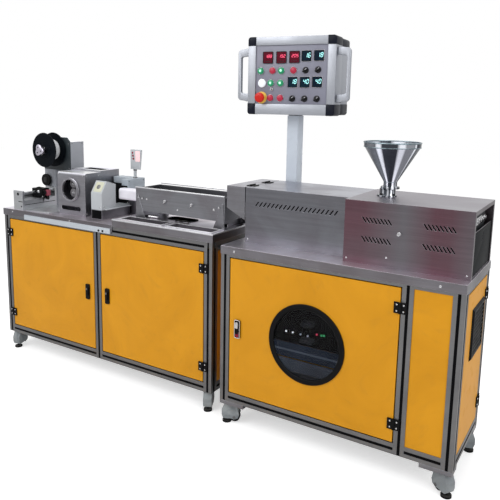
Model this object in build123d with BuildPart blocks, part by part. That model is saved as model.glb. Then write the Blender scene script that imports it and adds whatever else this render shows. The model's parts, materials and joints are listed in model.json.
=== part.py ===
from build123d import *
import math
import os

os.makedirs("parts", exist_ok=True)

# Plastic extruder: a small filament line on two cabinets of slotted aluminium bar.
# The extruder stands on the right cabinet, the cooling, hauling and winding gear on the left one.
# X runs along the line towards the drive end, Y to the back, Z up. The origin is on the floor,
# under the middle of the whole line. All sizes are in millimetres.

# Slotted bar and sheet
BAR = 45.0
SLOT_WIDTH = 10.0
SLOT_DEPTH = 13.0
STEEL = 2.0
PANEL = 4.0
PANEL_SETBACK = 3.0

# Doors and hinges
DOOR_GAP = 5.0
DOOR_DEPTH = 18.0
DOOR_WALL = 2.0
LEAF_THICKNESS = 5.0
LEAF_WIDTH = 25.0
LEAF_HEIGHT = 44.0
BARREL_RADIUS = 5.0
HINGE_PIN_RADIUS = 2.5
RUNNING_FIT = 0.1
KNUCKLE = 15.0
KNUCKLE_PLAY = 0.5
HINGE_INSET = 55.0
LATCH_WIDTH = 27.0
LATCH_HEIGHT = 82.0
LATCH_CORNER = 5.0
LATCH_PROUD = 8.0
LATCH_GRIP_WIDTH = 15.0
LATCH_GRIP_HEIGHT = 44.0
LATCH_GRIP_PROUD = 5.0
LATCH_EDGE = 30.0

# Extruder cabinet, on the right
EXTRUDER_LENGTH = 1052.0
EXTRUDER_DEPTH = 437.0
EXTRUDER_TABLE_TOP = 846.0
EXTRUDER_LIP = 36.0
EXTRUDER_DOOR_BAY = 776.0
EXTRUDER_LATCH_Z = 478.0

# Downstream cabinet, on the left and set back
CABINET_GAP = 80.0
FLAT_TABLE_LENGTH = 856.0
TRAY_LENGTH = 622.0
DOWNSTREAM_LENGTH = FLAT_TABLE_LENGTH + TRAY_LENGTH
DOWNSTREAM_DEPTH = 437.0
DOWNSTREAM_SETBACK = 44.0
DOWNSTREAM_FRAME_TOP = 836.0
DOWNSTREAM_LEFT_BAY = 676.0
DOWNSTREAM_LATCH_Z = 462.0
FLAT_TABLE_TOP = 846.0
FLAT_LIP = 38.0
TRAY_TOP = 877.0
LIP_OVERHANG = 4.0
TRAY_SHEET = 3.0
TRAY_FOLD = 16.0
TRAY_WELL_DEPTH = 26.0
TRAY_RIM = 28.0
TRAY_WELL_WIDTH = 76.0
TRAY_SEAM = 315.0
TRAY_SPLIT = 40.0
DRAIN_LENGTH = 166.0
DRAIN_WIDTH = 70.0
DRAIN_START = 210.0
DRAIN_CORNER = 30.0
STRIP_END_GAP = 8.0
STRIP_LENGTH = 663.0
STRIP_HEIGHT = 27.0
STRIP_TOP = 826.0
STRIP_THICKNESS = 6.0

LINK_WIDTH = 40.0
LINK_THICKNESS = 6.0
LINK_Z = 801.0

# Feet: levelling casters, each with its pad screwed down
CASTER_HEIGHT = 100.0
CORNER_PLATE = 18.0
CORNER_PLATE_LENGTH = 126.0
CASTER_PLATE = 5.0
CASTER_PLATE_SIDE = 56.0
CASTER_INSET = 42.0
WHEEL_RADIUS = 25.0
WHEEL_LIFT = 6.0
WHEEL_WIDTH = 20.0
WHEEL_OFFSET = 14.0
FORK_CLEARANCE = 5.0
FORK_WALL = 6.0
BEARING_PLAY = 0.3
PAD_RADIUS = 21.0
PAD_THICKNESS = 9.0
PAD_OFFSET = 24.0
PAD_STEM_RADIUS = 5.0
THUMBWHEEL_RADIUS = 16.0
THUMBWHEEL_HEIGHT = 9.0
THUMBWHEEL_Z = 58.0
THUMBWHEEL_CLEARANCE = 2.0
FORK_REACH = 80.0

# Round window in the extruder door
WINDOW_CENTRE_X = 427.0
WINDOW_CENTRE_Z = 480.0
WINDOW_RADIUS = 155.0
WINDOW_RIM = 15.0
WINDOW_RIM_PROUD = 4.0
WINDOW_NECK = 4.0
WINDOW_FIT = 0.3
GLASS = 4.0

# Covers on the extruder table
COVER_TOP = 1100.0
COVER_BACK = 430.0
DRIVE_COVER_LENGTH = 500.0
DRIVE_COVER_FRONT = 63.0
BARREL_COVER_LENGTH = 500.0
BARREL_COVER_FRONT = 115.0
COVER_END_INSET = 1.0
END_PANEL_HEIGHT = 170.0
END_PANEL_INSET = 6.0
END_FLANGE = 16.0
END_SLIT_WIDTH = 8.0
END_SLIT_HEIGHT = 38.0
END_SLIT_Z = 978.0
VENT_SLOT_WIDTH = 7.0
VENT_SLOT_HEIGHT = 22.0
VENT_SLOT_LEAN = 16.0
BARREL_SLOT_PITCH = 20.0
BARREL_SLOT_COUNT = 20
BARREL_SLOT_Z = 1027.0
DRIVE_SLOT_PITCH = 14.7
DRIVE_SLOT_COUNT = 8
DRIVE_SLOT_LEFT = 135.0
DRIVE_SLOT_RIGHT = 123.0
DRIVE_SLOT_ROWS = (1025.0, 948.0)
DIE_GUARD_LENGTH = 101.0
DIE_GUARD_DEPTH = 315.0
DIE_GUARD_LEFT_HEIGHT = 102.0
DIE_GUARD_RIGHT_HEIGHT = 150.0
DIE_GUARD_GAP = 5.0
GUARD_LEAF = 22.0
GUARD_LEAF_THICKNESS = 3.0
GUARD_HINGE_LENGTH = 40.0
GUARD_HINGE_FRONT = 65.0
GUARD_HINGE_REAR = 115.0
GUARD_BARREL_RADIUS = 4.0
GUARD_PIN_RADIUS = 2.0

# Screw barrel, die and gearbox, under the covers
LINE_Y = 250.0
BARREL_AXIS_Z = 975.0
BARREL_RADIUS_OUT = 42.0
DIE_RADIUS = 40.0
DIE_LENGTH = 52.0
NOZZLE_RADIUS = 12.0
NOZZLE_LENGTH = 30.0
GEARBOX_LENGTH = 286.0
GEARBOX_WIDTH = 250.0
GEARBOX_HEIGHT = 214.0
GEARBOX_START = 90.0
GEARBOX_FLANGE = 20.0
GEARBOX_FLANGE_RADIUS = 70.0

# Hopper
HOPPER_START = 99.0
HOPPER_TAB_REACH = 55.0
HOPPER_TAB_WIDTH = 18.0
HOPPER_RIM_RADIUS = 96.0
HOPPER_RIM_HEIGHT = 26.0
HOPPER_RIM_WALL = 5.0
HOPPER_TOP = 1320.0
HOPPER_NECK_TOP = 1160.0
HOPPER_FLANGE_TOP = 1141.0
HOPPER_FLANGE_THICKNESS = 10.0
HOPPER_FLANGE_RADIUS = 43.0
HOPPER_NECK_RADIUS = 28.0
HOPPER_WALL = 2.0
THROAT_RADIUS = 24.0
THROAT_BORE = 18.0
THROAT_FLANGE_RADIUS = 34.0
THROAT_FLANGE_THICKNESS = 5.0

# Control box on its post
POST_SIDE = 60.0
POST_X = 104.0
POST_STANDOFF = 9.0
POST_TOP = 1415.0
POST_BRACKET_LENGTH = 120.0
SWIVEL_RADIUS = 32.0
SWIVEL_HEIGHT = 14.0
BOX_LENGTH = 436.0
BOX_DEPTH = 217.0
BOX_HEIGHT = 349.0
BOX_YAW = 6.5
BOX_SHIFT = 9.0
BOX_CORNER = 12.0
BOX_EDGE = 41.0
LAYOUT_WIDTH = 354.0
LAYOUT_HEIGHT = 267.0
BOX_FACE_RECESS = 6.0
METER_SIDE = 46.0
METER_PROUD = 5.0
BUTTON_RADIUS = 14.0
BUTTON_PROUD = 11.0
KNOB_RADIUS = 15.0
KNOB_PROUD = 8.0
KNOB_GRIP = 9.0
KNOB_GRIP_LENGTH = 27.0
KNOB_GRIP_PROUD = 18.0
LAMP_RADIUS = 18.0
STOP_RING_RADIUS = 26.0
STOP_RING_PROUD = 3.0
STOP_STEM_RADIUS = 12.0
STOP_STEM_LENGTH = 12.0
STOP_HEAD_RADIUS = 19.0
STOP_HEAD_LENGTH = 13.0
HANDLE_REACH = 40.0
HANDLE_BAR = 17.0
HANDLE_SPAN = 200.0
HANDLE_FOOT = 34.0
HANDLE_WIDTH = 20.0

# Cooling trough
TROUGH_LENGTH = 552.0
TROUGH_END_GAP = 88.0
TROUGH_WIDTH = 190.0
TROUGH_BOTTOM = 915.0
TROUGH_TOP = 1037.0
TROUGH_REAR_DROP = 7.0
TROUGH_WALL = 3.0
TROUGH_FOOT_WALL = 6.0
TROUGH_FOOT_INSET = 30.0
GUSSET_BASE = 64.0
GUSSET_APEX_Z = 1000.0
GUSSET_TIP = 8.0
GUSSET_THICKNESS = 4.0
GUSSET_FLANGE = 26.0

# Entry block, diameter gauge, display and motor housing
ENTRY_BLOCK_LENGTH = 127.0
ENTRY_BLOCK_WIDTH = 60.0
ENTRY_BLOCK_HEIGHT = 57.0
ENTRY_BLOCK_CORNER = 12.0
ENTRY_NECK_LENGTH = 55.0
ENTRY_NECK_RADIUS = 16.0
GAUGE_OFFSET = 215.0
GAUGE_WIDTH = 78.0
GAUGE_FRONT = 110.0
GAUGE_STAND_DEPTH = 213.0
GAUGE_STAND_HEIGHT = 51.0
GAUGE_PLATE = 8.0
GAUGE_DEPTH = 104.0
GAUGE_HEIGHT = 143.0
GAUGE_FRONT_HEIGHT = 81.0
GAUGE_BACK_HEIGHT = 123.0
GAUGE_SLOPE_DEPTH = 40.0
HAUL_BOX_FRONT = 300.0
HAUL_BOX_DEPTH = 100.0
HAUL_BOX_BOTTOM = 1006.0
HAUL_LOW_TOP = 1051.0
HAUL_HIGH_TOP = 1067.0
HAUL_LOW_LENGTH = 72.0
HAUL_LENGTH = 200.0
HAUL_STEM_INSET = 20.0
HAUL_STEM_LENGTH = 100.0
HAUL_STEM_SETBACK = 40.0
HAUL_STEM_DEPTH = 20.0
DISPLAY_OFFSET = 99.0
DISPLAY_SETBACK = 30.0
DISPLAY_WIDTH = 64.0
DISPLAY_DEPTH = 40.0
DISPLAY_BOTTOM = 1104.0
DISPLAY_TOP = 1207.0
DISPLAY_POLE = 12.0

# Puller
PULLER_OFFSET = 482.0
PULLER_LENGTH = 212.0
PULLER_FRONT = 120.0
PULLER_DEPTH = 118.0
PULLER_HEIGHT = 234.0
PULLER_WALL = 3.0
PULLER_ROLL = 14.0
PULLER_PORT_RADIUS = 56.0
PULLER_PORT_X = 99.0
PULLER_PORT_Z = 985.0
PORT_RING_WIDTH = 9.0
PORT_RING_PROUD = 5.0
PULLER_SLOT_START = 24.0
PULLER_SLOT_LENGTH = 151.0
PULLER_SLOT_LIFT = 24.0
PULLER_SLOT_HEIGHT = 24.0
PULLER_REAR_DEPTH = 143.0
PULLER_REAR_RISE = 8.0
REAR_OPENING_START = 39.0
REAR_OPENING_LENGTH = 151.0
REAR_OPENING_SETBACK = 25.0
REAR_OPENING_DEPTH = 66.0

# Winder
WINDER_X = 156.0
SPOOL_RADIUS = 100.0
SPOOL_WIDTH = 72.0
SPOOL_FLANGE = 4.0
SPOOL_CORE_RADIUS = 40.0
SPOOL_WOUND_RADIUS = 84.0
SPOOL_FRONT = 214.0
SPOOL_Z = 1180.0
SPOOL_SHAFT_RADIUS = 9.0
SPINDLE_PROUD = 30.0
LOBE_RADIUS = 11.0
LOBE_OFFSET = 17.0
HUB_RADIUS = 17.0
HUB_THICKNESS = 16.0
WINDER_FRONT = 296.0
WINDER_DEPTH = 100.0
WINDER_BOTTOM = 1059.0
WINDER_TOP = 1254.0
WINDER_CHAMFER = 25.0
WINDER_HEAD_END = 132.0
COLUMN_DEPTH = 80.0
COLUMN_LEFT = 97.0
COLUMN_WIDTH = 94.0
GUIDE_OFFSET = 68.0
GUIDE_RADIUS = 35.0
GUIDE_GROOVE = 6.0
GUIDE_WIDTH = 14.0
GUIDE_STANDOFF = 8.0
GUIDE_SHAFT_RADIUS = 8.0
GUIDE_Z = 995.0
TRAVERSE_X = 81.0
TRAVERSE_SETBACK = 6.0
TRAVERSE_WIDTH = 78.0
TRAVERSE_HEIGHT = 56.0
TRAVERSE_LENGTH = 230.0
TRAVERSE_END_HEIGHT = 109.0
TRAVERSE_END_THICKNESS = 12.0
TRAVERSE_ROD_RADIUS = 7.0
TRAVERSE_ROD_LIFT = 90.0
CARRIAGE_LENGTH = 56.0
CARRIAGE_INSET = 4.0
CARRIAGE_OVERHANG = 8.0
CARRIAGE_RISE = 20.0
CARRIAGE_START = 126.0
CARRIAGE_WHEEL_RADIUS = 28.0
CARRIAGE_WHEEL_WIDTH = 10.0
CARRIAGE_WHEEL_GAP = 4.0
CARRIAGE_WHEEL_INSET = 9.0
CARRIAGE_WHEEL_LIFT = 6.0
CARRIAGE_AXLE_RADIUS = 8.0

# Places that follow from the sizes above
END_PROUD = LEAF_THICKNESS + BARREL_RADIUS
LINE_LENGTH = DOWNSTREAM_LENGTH + CABINET_GAP + EXTRUDER_LENGTH
DOWN_X = LIP_OVERHANG - (LINE_LENGTH + LIP_OVERHANG + END_PROUD) / 2
DOWN_END = DOWN_X + DOWNSTREAM_LENGTH
EXT_X = DOWN_END + CABINET_GAP
EXT_END = EXT_X + EXTRUDER_LENGTH
POST_BACK = EXTRUDER_DEPTH + POST_STANDOFF + POST_SIDE
yaw = math.radians(BOX_YAW)
BOX_REACH = BOX_LENGTH / 2 * math.sin(yaw) + BOX_DEPTH / 2 * math.cos(yaw)
LINE_BACK = POST_BACK - POST_SIDE / 2 + BOX_REACH
FRONT = (END_PROUD - LINE_BACK) / 2
BACK = FRONT + EXTRUDER_DEPTH
DOWN_FRONT = FRONT + DOWNSTREAM_SETBACK
DOWN_BACK = DOWN_FRONT + DOWNSTREAM_DEPTH
EXT_BOTTOM = CASTER_HEIGHT + CORNER_PLATE
EXT_TOP = EXTRUDER_TABLE_TOP - STEEL
DOWN_BOTTOM = CASTER_HEIGHT
MID = FRONT + LINE_Y


def block(x0, x1, y0, y1, z0, z1, mode=Mode.ADD):
    """Box between two corners, added to or cut from the part that is being built."""
    with BuildSketch(Plane.XY.offset(z0)) as outline:
        with Locations(((x0 + x1) / 2, (y0 + y1) / 2)):
            Rectangle(x1 - x0, y1 - y0)
    extrude(outline.sketch, amount=z1 - z0, mode=mode)


def rod(start, direction, radius, length, mode=Mode.ADD):
    """Round bar from start along direction."""
    with BuildSketch(Plane(origin=start, z_dir=direction)) as outline:
        Circle(radius)
    extrude(outline.sketch, amount=length, mode=mode)


def slotted_bar(start, direction, length):
    """Square bar with one slot along each side, centred on start."""
    with BuildSketch(Plane(origin=start, z_dir=direction)) as section:
        Rectangle(BAR, BAR)
        with PolarLocations((BAR - SLOT_DEPTH) / 2, 4):
            Rectangle(SLOT_DEPTH, SLOT_WIDTH, mode=Mode.SUBTRACT)
    extrude(section.sketch, amount=length)


def save(builder, name):
    """Name a finished piece and write it out."""
    builder.part.label = name
    export_step(builder.part, f"parts/{name}.step")


def frame_posts(x0, length, y0, depth, bottom, top, middle):
    """Four corner posts and one front post whose left face is at middle."""
    half = BAR / 2
    with BuildPart() as posts:
        for x in (x0 + half, x0 + length - half):
            for y in (y0 + half, y0 + depth - half):
                slotted_bar((x, y, bottom), (0, 0, 1), top - bottom)
        slotted_bar((middle + half, y0 + half, bottom), (0, 0, 1), top - bottom)
    return posts


def frame_rails(x0, length, y0, depth, bottom, top, middle):
    """Top and bottom rails between the posts."""
    half = BAR / 2
    with BuildPart() as rails:
        for z in (bottom + half, top - half):
            slotted_bar((x0 + BAR, y0 + half, z), (1, 0, 0), middle - x0 - BAR)
            slotted_bar((middle + BAR, y0 + half, z), (1, 0, 0), x0 + length - middle - 2 * BAR)
            slotted_bar((x0 + BAR, y0 + depth - half, z), (1, 0, 0), length - 2 * BAR)
            for x in (x0 + half, x0 + length - half):
                slotted_bar((x, y0 + BAR, z), (0, 1, 0), depth - 2 * BAR)
    return rails


# Frames of both cabinets
EXT_MIDDLE = EXT_X + BAR + EXTRUDER_DOOR_BAY
DOWN_MIDDLE = DOWN_X + BAR + DOWNSTREAM_LEFT_BAY
ext_frame = (EXT_X, EXTRUDER_LENGTH, FRONT, EXTRUDER_DEPTH, EXT_BOTTOM, EXT_TOP, EXT_MIDDLE)
down_frame = (DOWN_X, DOWNSTREAM_LENGTH, DOWN_FRONT, DOWNSTREAM_DEPTH, DOWN_BOTTOM, DOWNSTREAM_FRAME_TOP,
              DOWN_MIDDLE)
save(frame_posts(*ext_frame), "extruder_posts")
save(frame_rails(*ext_frame), "extruder_rails")
save(frame_posts(*down_frame), "downstream_posts")
save(frame_rails(*down_frame), "downstream_rails")


def upright_panels(x0, length, y0, depth, bottom, top, sides):
    """Back panel and the end panels named in sides, let into the bays of a frame."""
    low = bottom + BAR
    high = top - BAR
    block(x0 + BAR, x0 + length - BAR, y0 + depth - PANEL_SETBACK - PANEL, y0 + depth - PANEL_SETBACK, low, high)
    if "left" in sides:
        block(x0 + PANEL_SETBACK, x0 + PANEL_SETBACK + PANEL, y0 + BAR, y0 + depth - BAR, low, high)
    if "right" in sides:
        end = x0 + length - PANEL_SETBACK
        block(end - PANEL, end, y0 + BAR, y0 + depth - BAR, low, high)


with BuildPart() as extruder_panels:
    upright_panels(*ext_frame[:6], ("left",))
    block(EXT_MIDDLE + BAR, EXT_END - BAR, FRONT + PANEL_SETBACK, FRONT + PANEL_SETBACK + PANEL,
          EXT_BOTTOM + BAR, EXT_TOP - BAR)
save(extruder_panels, "extruder_panels")

with BuildPart() as downstream_panels:
    upright_panels(*down_frame[:6], ("left", "right"))
save(downstream_panels, "downstream_panels")

with BuildPart() as cabinet_floors:
    block(EXT_X + BAR, EXT_END - BAR, FRONT + BAR, BACK - BAR, EXT_BOTTOM + BAR - PANEL, EXT_BOTTOM + BAR)
    block(DOWN_X + BAR, DOWN_END - BAR, DOWN_FRONT + BAR, DOWN_BACK - BAR, DOWN_BOTTOM + BAR - PANEL,
          DOWN_BOTTOM + BAR)
save(cabinet_floors, "cabinet_floors")

# Table sheets: the extruder's folded top, the flat top on the left and the tray top with its two wells
with BuildPart() as extruder_table:
    block(EXT_X - STEEL, EXT_END + STEEL, FRONT - STEEL, BACK + STEEL, EXTRUDER_TABLE_TOP - EXTRUDER_LIP,
          EXTRUDER_TABLE_TOP)
    block(EXT_X, EXT_END, FRONT, BACK, EXTRUDER_TABLE_TOP - EXTRUDER_LIP, EXT_TOP, mode=Mode.SUBTRACT)
save(extruder_table, "extruder_table")

FLAT_END = DOWN_X + FLAT_TABLE_LENGTH
with BuildPart() as flat_table:
    block(DOWN_X - LIP_OVERHANG, FLAT_END, DOWN_FRONT - LIP_OVERHANG, DOWN_BACK + LIP_OVERHANG,
          FLAT_TABLE_TOP - FLAT_LIP, FLAT_TABLE_TOP)
    block(DOWN_X, FLAT_END, DOWN_FRONT, DOWN_BACK, FLAT_TABLE_TOP - FLAT_LIP, DOWNSTREAM_FRAME_TOP,
          mode=Mode.SUBTRACT)
save(flat_table, "flat_table")

WELL_FRONT = DOWN_FRONT + TRAY_RIM
WELL_BACK = WELL_FRONT + TRAY_WELL_WIDTH
WELL_SPLIT = FLAT_END + TRAY_SEAM + TRAY_SPLIT / 2
TRAY_WELLS = ((FLAT_END + TRAY_RIM, WELL_SPLIT - TRAY_SPLIT), (WELL_SPLIT, DOWN_END - TRAY_RIM))
TRAY_UNDER = TRAY_TOP - TRAY_SHEET
DRAIN_X = FLAT_END + DRAIN_START + DRAIN_LENGTH / 2
with BuildPart() as tray_table:
    block(FLAT_END, DOWN_END + LIP_OVERHANG, DOWN_FRONT - LIP_OVERHANG, DOWN_BACK + LIP_OVERHANG,
          DOWNSTREAM_FRAME_TOP, TRAY_TOP)
    block(FLAT_END + TRAY_FOLD, DOWN_END + LIP_OVERHANG - TRAY_FOLD, DOWN_FRONT - LIP_OVERHANG + TRAY_FOLD,
          DOWN_BACK + LIP_OVERHANG - TRAY_FOLD, DOWNSTREAM_FRAME_TOP, TRAY_UNDER, mode=Mode.SUBTRACT)
    for left, right in TRAY_WELLS:
        block(left - TRAY_SHEET, right + TRAY_SHEET, WELL_FRONT - TRAY_SHEET, WELL_BACK + TRAY_SHEET,
              TRAY_UNDER - TRAY_WELL_DEPTH, TRAY_UNDER)
        block(left, right, WELL_FRONT, WELL_BACK, TRAY_TOP - TRAY_WELL_DEPTH, TRAY_TOP, mode=Mode.SUBTRACT)
    with BuildSketch(Plane.XY.offset(TRAY_UNDER)):
        with Locations((DRAIN_X, MID)):
            RectangleRounded(DRAIN_LENGTH, DRAIN_WIDTH, DRAIN_CORNER)
    extrude(amount=TRAY_SHEET, mode=Mode.SUBTRACT)
save(tray_table, "tray_table")

STRIP_END = FLAT_END - STRIP_END_GAP
with BuildPart() as front_strip:
    block(STRIP_END - STRIP_LENGTH, STRIP_END, DOWN_FRONT - LIP_OVERHANG - STRIP_THICKNESS, DOWN_FRONT - LIP_OVERHANG,
          STRIP_TOP - STRIP_HEIGHT, STRIP_TOP)
save(front_strip, "front_strip")


# Doors are folded trays, open to the inside of the cabinet
def tray_door(corner, run, depth_dir, width, height):
    """Door tray from its lower corner, width along run and its folded depth along depth_dir."""
    face = Plane(origin=corner, x_dir=run, z_dir=depth_dir)
    up = 1 if face.y_dir.Z > 0 else -1
    with BuildSketch(face) as outside:
        with Locations((width / 2, up * height / 2)):
            Rectangle(width, height)
    extrude(outside.sketch, amount=DOOR_DEPTH)
    with BuildSketch(face.offset(DOOR_WALL)) as inside:
        with Locations((width / 2, up * height / 2)):
            Rectangle(width - 2 * DOOR_WALL, height - 2 * DOOR_WALL)
    extrude(inside.sketch, amount=DOOR_DEPTH - DOOR_WALL, mode=Mode.SUBTRACT)


def hinge_half(pin, away, back, fixed):
    """One half of a hinge. The pin's middle is at pin, the leaf runs along away, its back face looks along back."""
    side = 1 if fixed else -1
    place = Plane(origin=pin, x_dir=away, z_dir=(0, 0, 1))
    behind = place.y_dir.dot(Vector(*back))
    with BuildSketch(place.offset(-LEAF_HEIGHT / 2)) as section:
        with Locations((side * LEAF_WIDTH / 2, behind * LEAF_THICKNESS / 2)):
            Rectangle(LEAF_WIDTH, LEAF_THICKNESS)
        Circle(BARREL_RADIUS)
    extrude(section.sketch, amount=LEAF_HEIGHT)
    middle = KNUCKLE / 2 + (KNUCKLE_PLAY if fixed else 0)
    if fixed:
        rod(place.offset(-middle).origin, (0, 0, 1), BARREL_RADIUS + KNUCKLE_PLAY, 2 * middle, Mode.SUBTRACT)
        rod(place.offset(-middle).origin, (0, 0, 1), HINGE_PIN_RADIUS, 2 * middle)
    else:
        for low in (-LEAF_HEIGHT / 2, middle):
            rod(place.offset(low).origin, (0, 0, 1), BARREL_RADIUS + KNUCKLE_PLAY, LEAF_HEIGHT / 2 - middle,
                Mode.SUBTRACT)
        rod(place.offset(-middle).origin, (0, 0, 1), HINGE_PIN_RADIUS + RUNNING_FIT, 2 * middle, Mode.SUBTRACT)


def hinge_heights(bottom, top):
    """Middles of the two hinges of a door."""
    return (bottom + HINGE_INSET + LEAF_HEIGHT / 2, top - HINGE_INSET - LEAF_HEIGHT / 2)


def front_latch(x, front, z):
    """Paddle latch on a front door: a rounded plate with a raised grip."""
    for width, height, start, proud in ((LATCH_WIDTH, LATCH_HEIGHT, 0, LATCH_PROUD),
                                        (LATCH_GRIP_WIDTH, LATCH_GRIP_HEIGHT, LATCH_PROUD, LATCH_GRIP_PROUD)):
        with BuildSketch(Plane(origin=(x, front - start, z), x_dir=(1, 0, 0), z_dir=(0, -1, 0))) as plate:
            RectangleRounded(width, height, LATCH_CORNER)
        extrude(plate.sketch, amount=proud)


EXT_DOOR_BOTTOM = EXT_BOTTOM + BAR + DOOR_GAP
EXT_DOOR_TOP = EXT_TOP - BAR - DOOR_GAP
EXT_DOOR_LEFT = EXT_X + BAR + DOOR_GAP
EXT_DOOR_WIDTH = EXTRUDER_DOOR_BAY - 2 * DOOR_GAP
EXT_PIN = (EXT_MIDDLE - DOOR_GAP / 2, FRONT - LEAF_THICKNESS)
DOWN_DOOR_BOTTOM = DOWN_BOTTOM + BAR + DOOR_GAP
DOWN_DOOR_TOP = DOWNSTREAM_FRAME_TOP - BAR - DOOR_GAP
LEFT_DOOR_WIDTH = DOWNSTREAM_LEFT_BAY - 2 * DOOR_GAP
LEFT_PIN = (DOWN_X + BAR + DOOR_GAP / 2, DOWN_FRONT - LEAF_THICKNESS)
RIGHT_DOOR_LEFT = DOWN_MIDDLE + BAR + DOOR_GAP
RIGHT_DOOR_WIDTH = DOWN_END - BAR - DOOR_GAP - RIGHT_DOOR_LEFT
RIGHT_PIN = (DOWN_END - BAR - DOOR_GAP / 2, DOWN_FRONT - LEAF_THICKNESS)
END_DOOR_WIDTH = EXTRUDER_DEPTH - 2 * BAR - 2 * DOOR_GAP
END_PIN = (EXT_END + LEAF_THICKNESS, BACK - BAR - DOOR_GAP / 2)
ext_hinges = hinge_heights(EXT_DOOR_BOTTOM, EXT_DOOR_TOP)
down_hinges = hinge_heights(DOWN_DOOR_BOTTOM, DOWN_DOOR_TOP)

with BuildPart() as extruder_door:
    tray_door((EXT_DOOR_LEFT, FRONT, EXT_DOOR_BOTTOM), (1, 0, 0), (0, 1, 0), EXT_DOOR_WIDTH,
              EXT_DOOR_TOP - EXT_DOOR_BOTTOM)
    rod((EXT_X + WINDOW_CENTRE_X, FRONT, WINDOW_CENTRE_Z), (0, 1, 0), WINDOW_RADIUS + WINDOW_NECK + WINDOW_FIT,
        DOOR_DEPTH, Mode.SUBTRACT)
save(extruder_door, "extruder_door")

window_plane = Plane(origin=(EXT_X + WINDOW_CENTRE_X, FRONT, WINDOW_CENTRE_Z), z_dir=(0, 1, 0))
with BuildPart() as window_rim:
    with BuildSketch(window_plane.offset(-WINDOW_RIM_PROUD)):
        Circle(WINDOW_RADIUS + WINDOW_RIM)
        Circle(WINDOW_RADIUS, mode=Mode.SUBTRACT)
    extrude(amount=WINDOW_RIM_PROUD)
    with BuildSketch(window_plane):
        Circle(WINDOW_RADIUS + WINDOW_NECK)
        Circle(WINDOW_RADIUS + 1, mode=Mode.SUBTRACT)
    extrude(amount=DOOR_DEPTH / 2)
save(window_rim, "window_rim")

with BuildPart() as window_glass:
    with BuildSketch(window_plane):
        Circle(WINDOW_RADIUS + 1 - WINDOW_FIT)
    extrude(amount=GLASS)
save(window_glass, "window_glass")

with BuildPart() as extruder_door_fittings:
    for z in ext_hinges:
        hinge_half((*EXT_PIN, z), (1, 0, 0), (0, 1, 0), False)
    front_latch(EXT_DOOR_LEFT + LATCH_EDGE + LATCH_WIDTH / 2, FRONT, EXTRUDER_LATCH_Z)
save(extruder_door_fittings, "extruder_door_fittings")

with BuildPart() as left_door:
    tray_door((DOWN_X + BAR + DOOR_GAP, DOWN_FRONT, DOWN_DOOR_BOTTOM), (1, 0, 0), (0, 1, 0), LEFT_DOOR_WIDTH,
              DOWN_DOOR_TOP - DOWN_DOOR_BOTTOM)
save(left_door, "left_door")

with BuildPart() as left_door_fittings:
    for z in down_hinges:
        hinge_half((*LEFT_PIN, z), (-1, 0, 0), (0, 1, 0), False)
    front_latch(DOWN_MIDDLE - DOOR_GAP - LATCH_EDGE - LATCH_WIDTH / 2, DOWN_FRONT, DOWNSTREAM_LATCH_Z)
save(left_door_fittings, "left_door_fittings")

with BuildPart() as right_door:
    tray_door((RIGHT_DOOR_LEFT, DOWN_FRONT, DOWN_DOOR_BOTTOM), (1, 0, 0), (0, 1, 0), RIGHT_DOOR_WIDTH,
              DOWN_DOOR_TOP - DOWN_DOOR_BOTTOM)
save(right_door, "right_door")

with BuildPart() as right_door_fittings:
    for z in down_hinges:
        hinge_half((*RIGHT_PIN, z), (1, 0, 0), (0, 1, 0), False)
    front_latch(RIGHT_DOOR_LEFT + LATCH_EDGE + LATCH_WIDTH / 2, DOWN_FRONT, DOWNSTREAM_LATCH_Z)
save(right_door_fittings, "right_door_fittings")

VENT_SIDE = 206.0
VENT_BORDER = 14.0
VENT_PROUD = 8.0
VENT_WALL = 3.0
LOUVRE_BITE = 1.0
VENT_START = 100.0
VENT_BOTTOM = 510.0
LOUVRE_COUNT = 10
LOUVRE_THICKNESS = 3.0
VENT_LOW_Y = FRONT + BAR + DOOR_GAP + VENT_START
VENT_HIGH_Y = VENT_LOW_Y + VENT_SIDE - 2 * VENT_BORDER
VENT_LOW_Z = VENT_BOTTOM + VENT_BORDER
VENT_HIGH_Z = VENT_BOTTOM + VENT_SIDE - VENT_BORDER
with BuildPart() as end_door:
    tray_door((EXT_END, FRONT + BAR + DOOR_GAP, EXT_DOOR_BOTTOM), (0, 1, 0), (-1, 0, 0), END_DOOR_WIDTH,
              EXT_DOOR_TOP - EXT_DOOR_BOTTOM)
    block(EXT_END - DOOR_DEPTH, EXT_END, VENT_LOW_Y, VENT_HIGH_Y, VENT_LOW_Z, VENT_HIGH_Z, mode=Mode.SUBTRACT)
save(end_door, "end_door")

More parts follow.
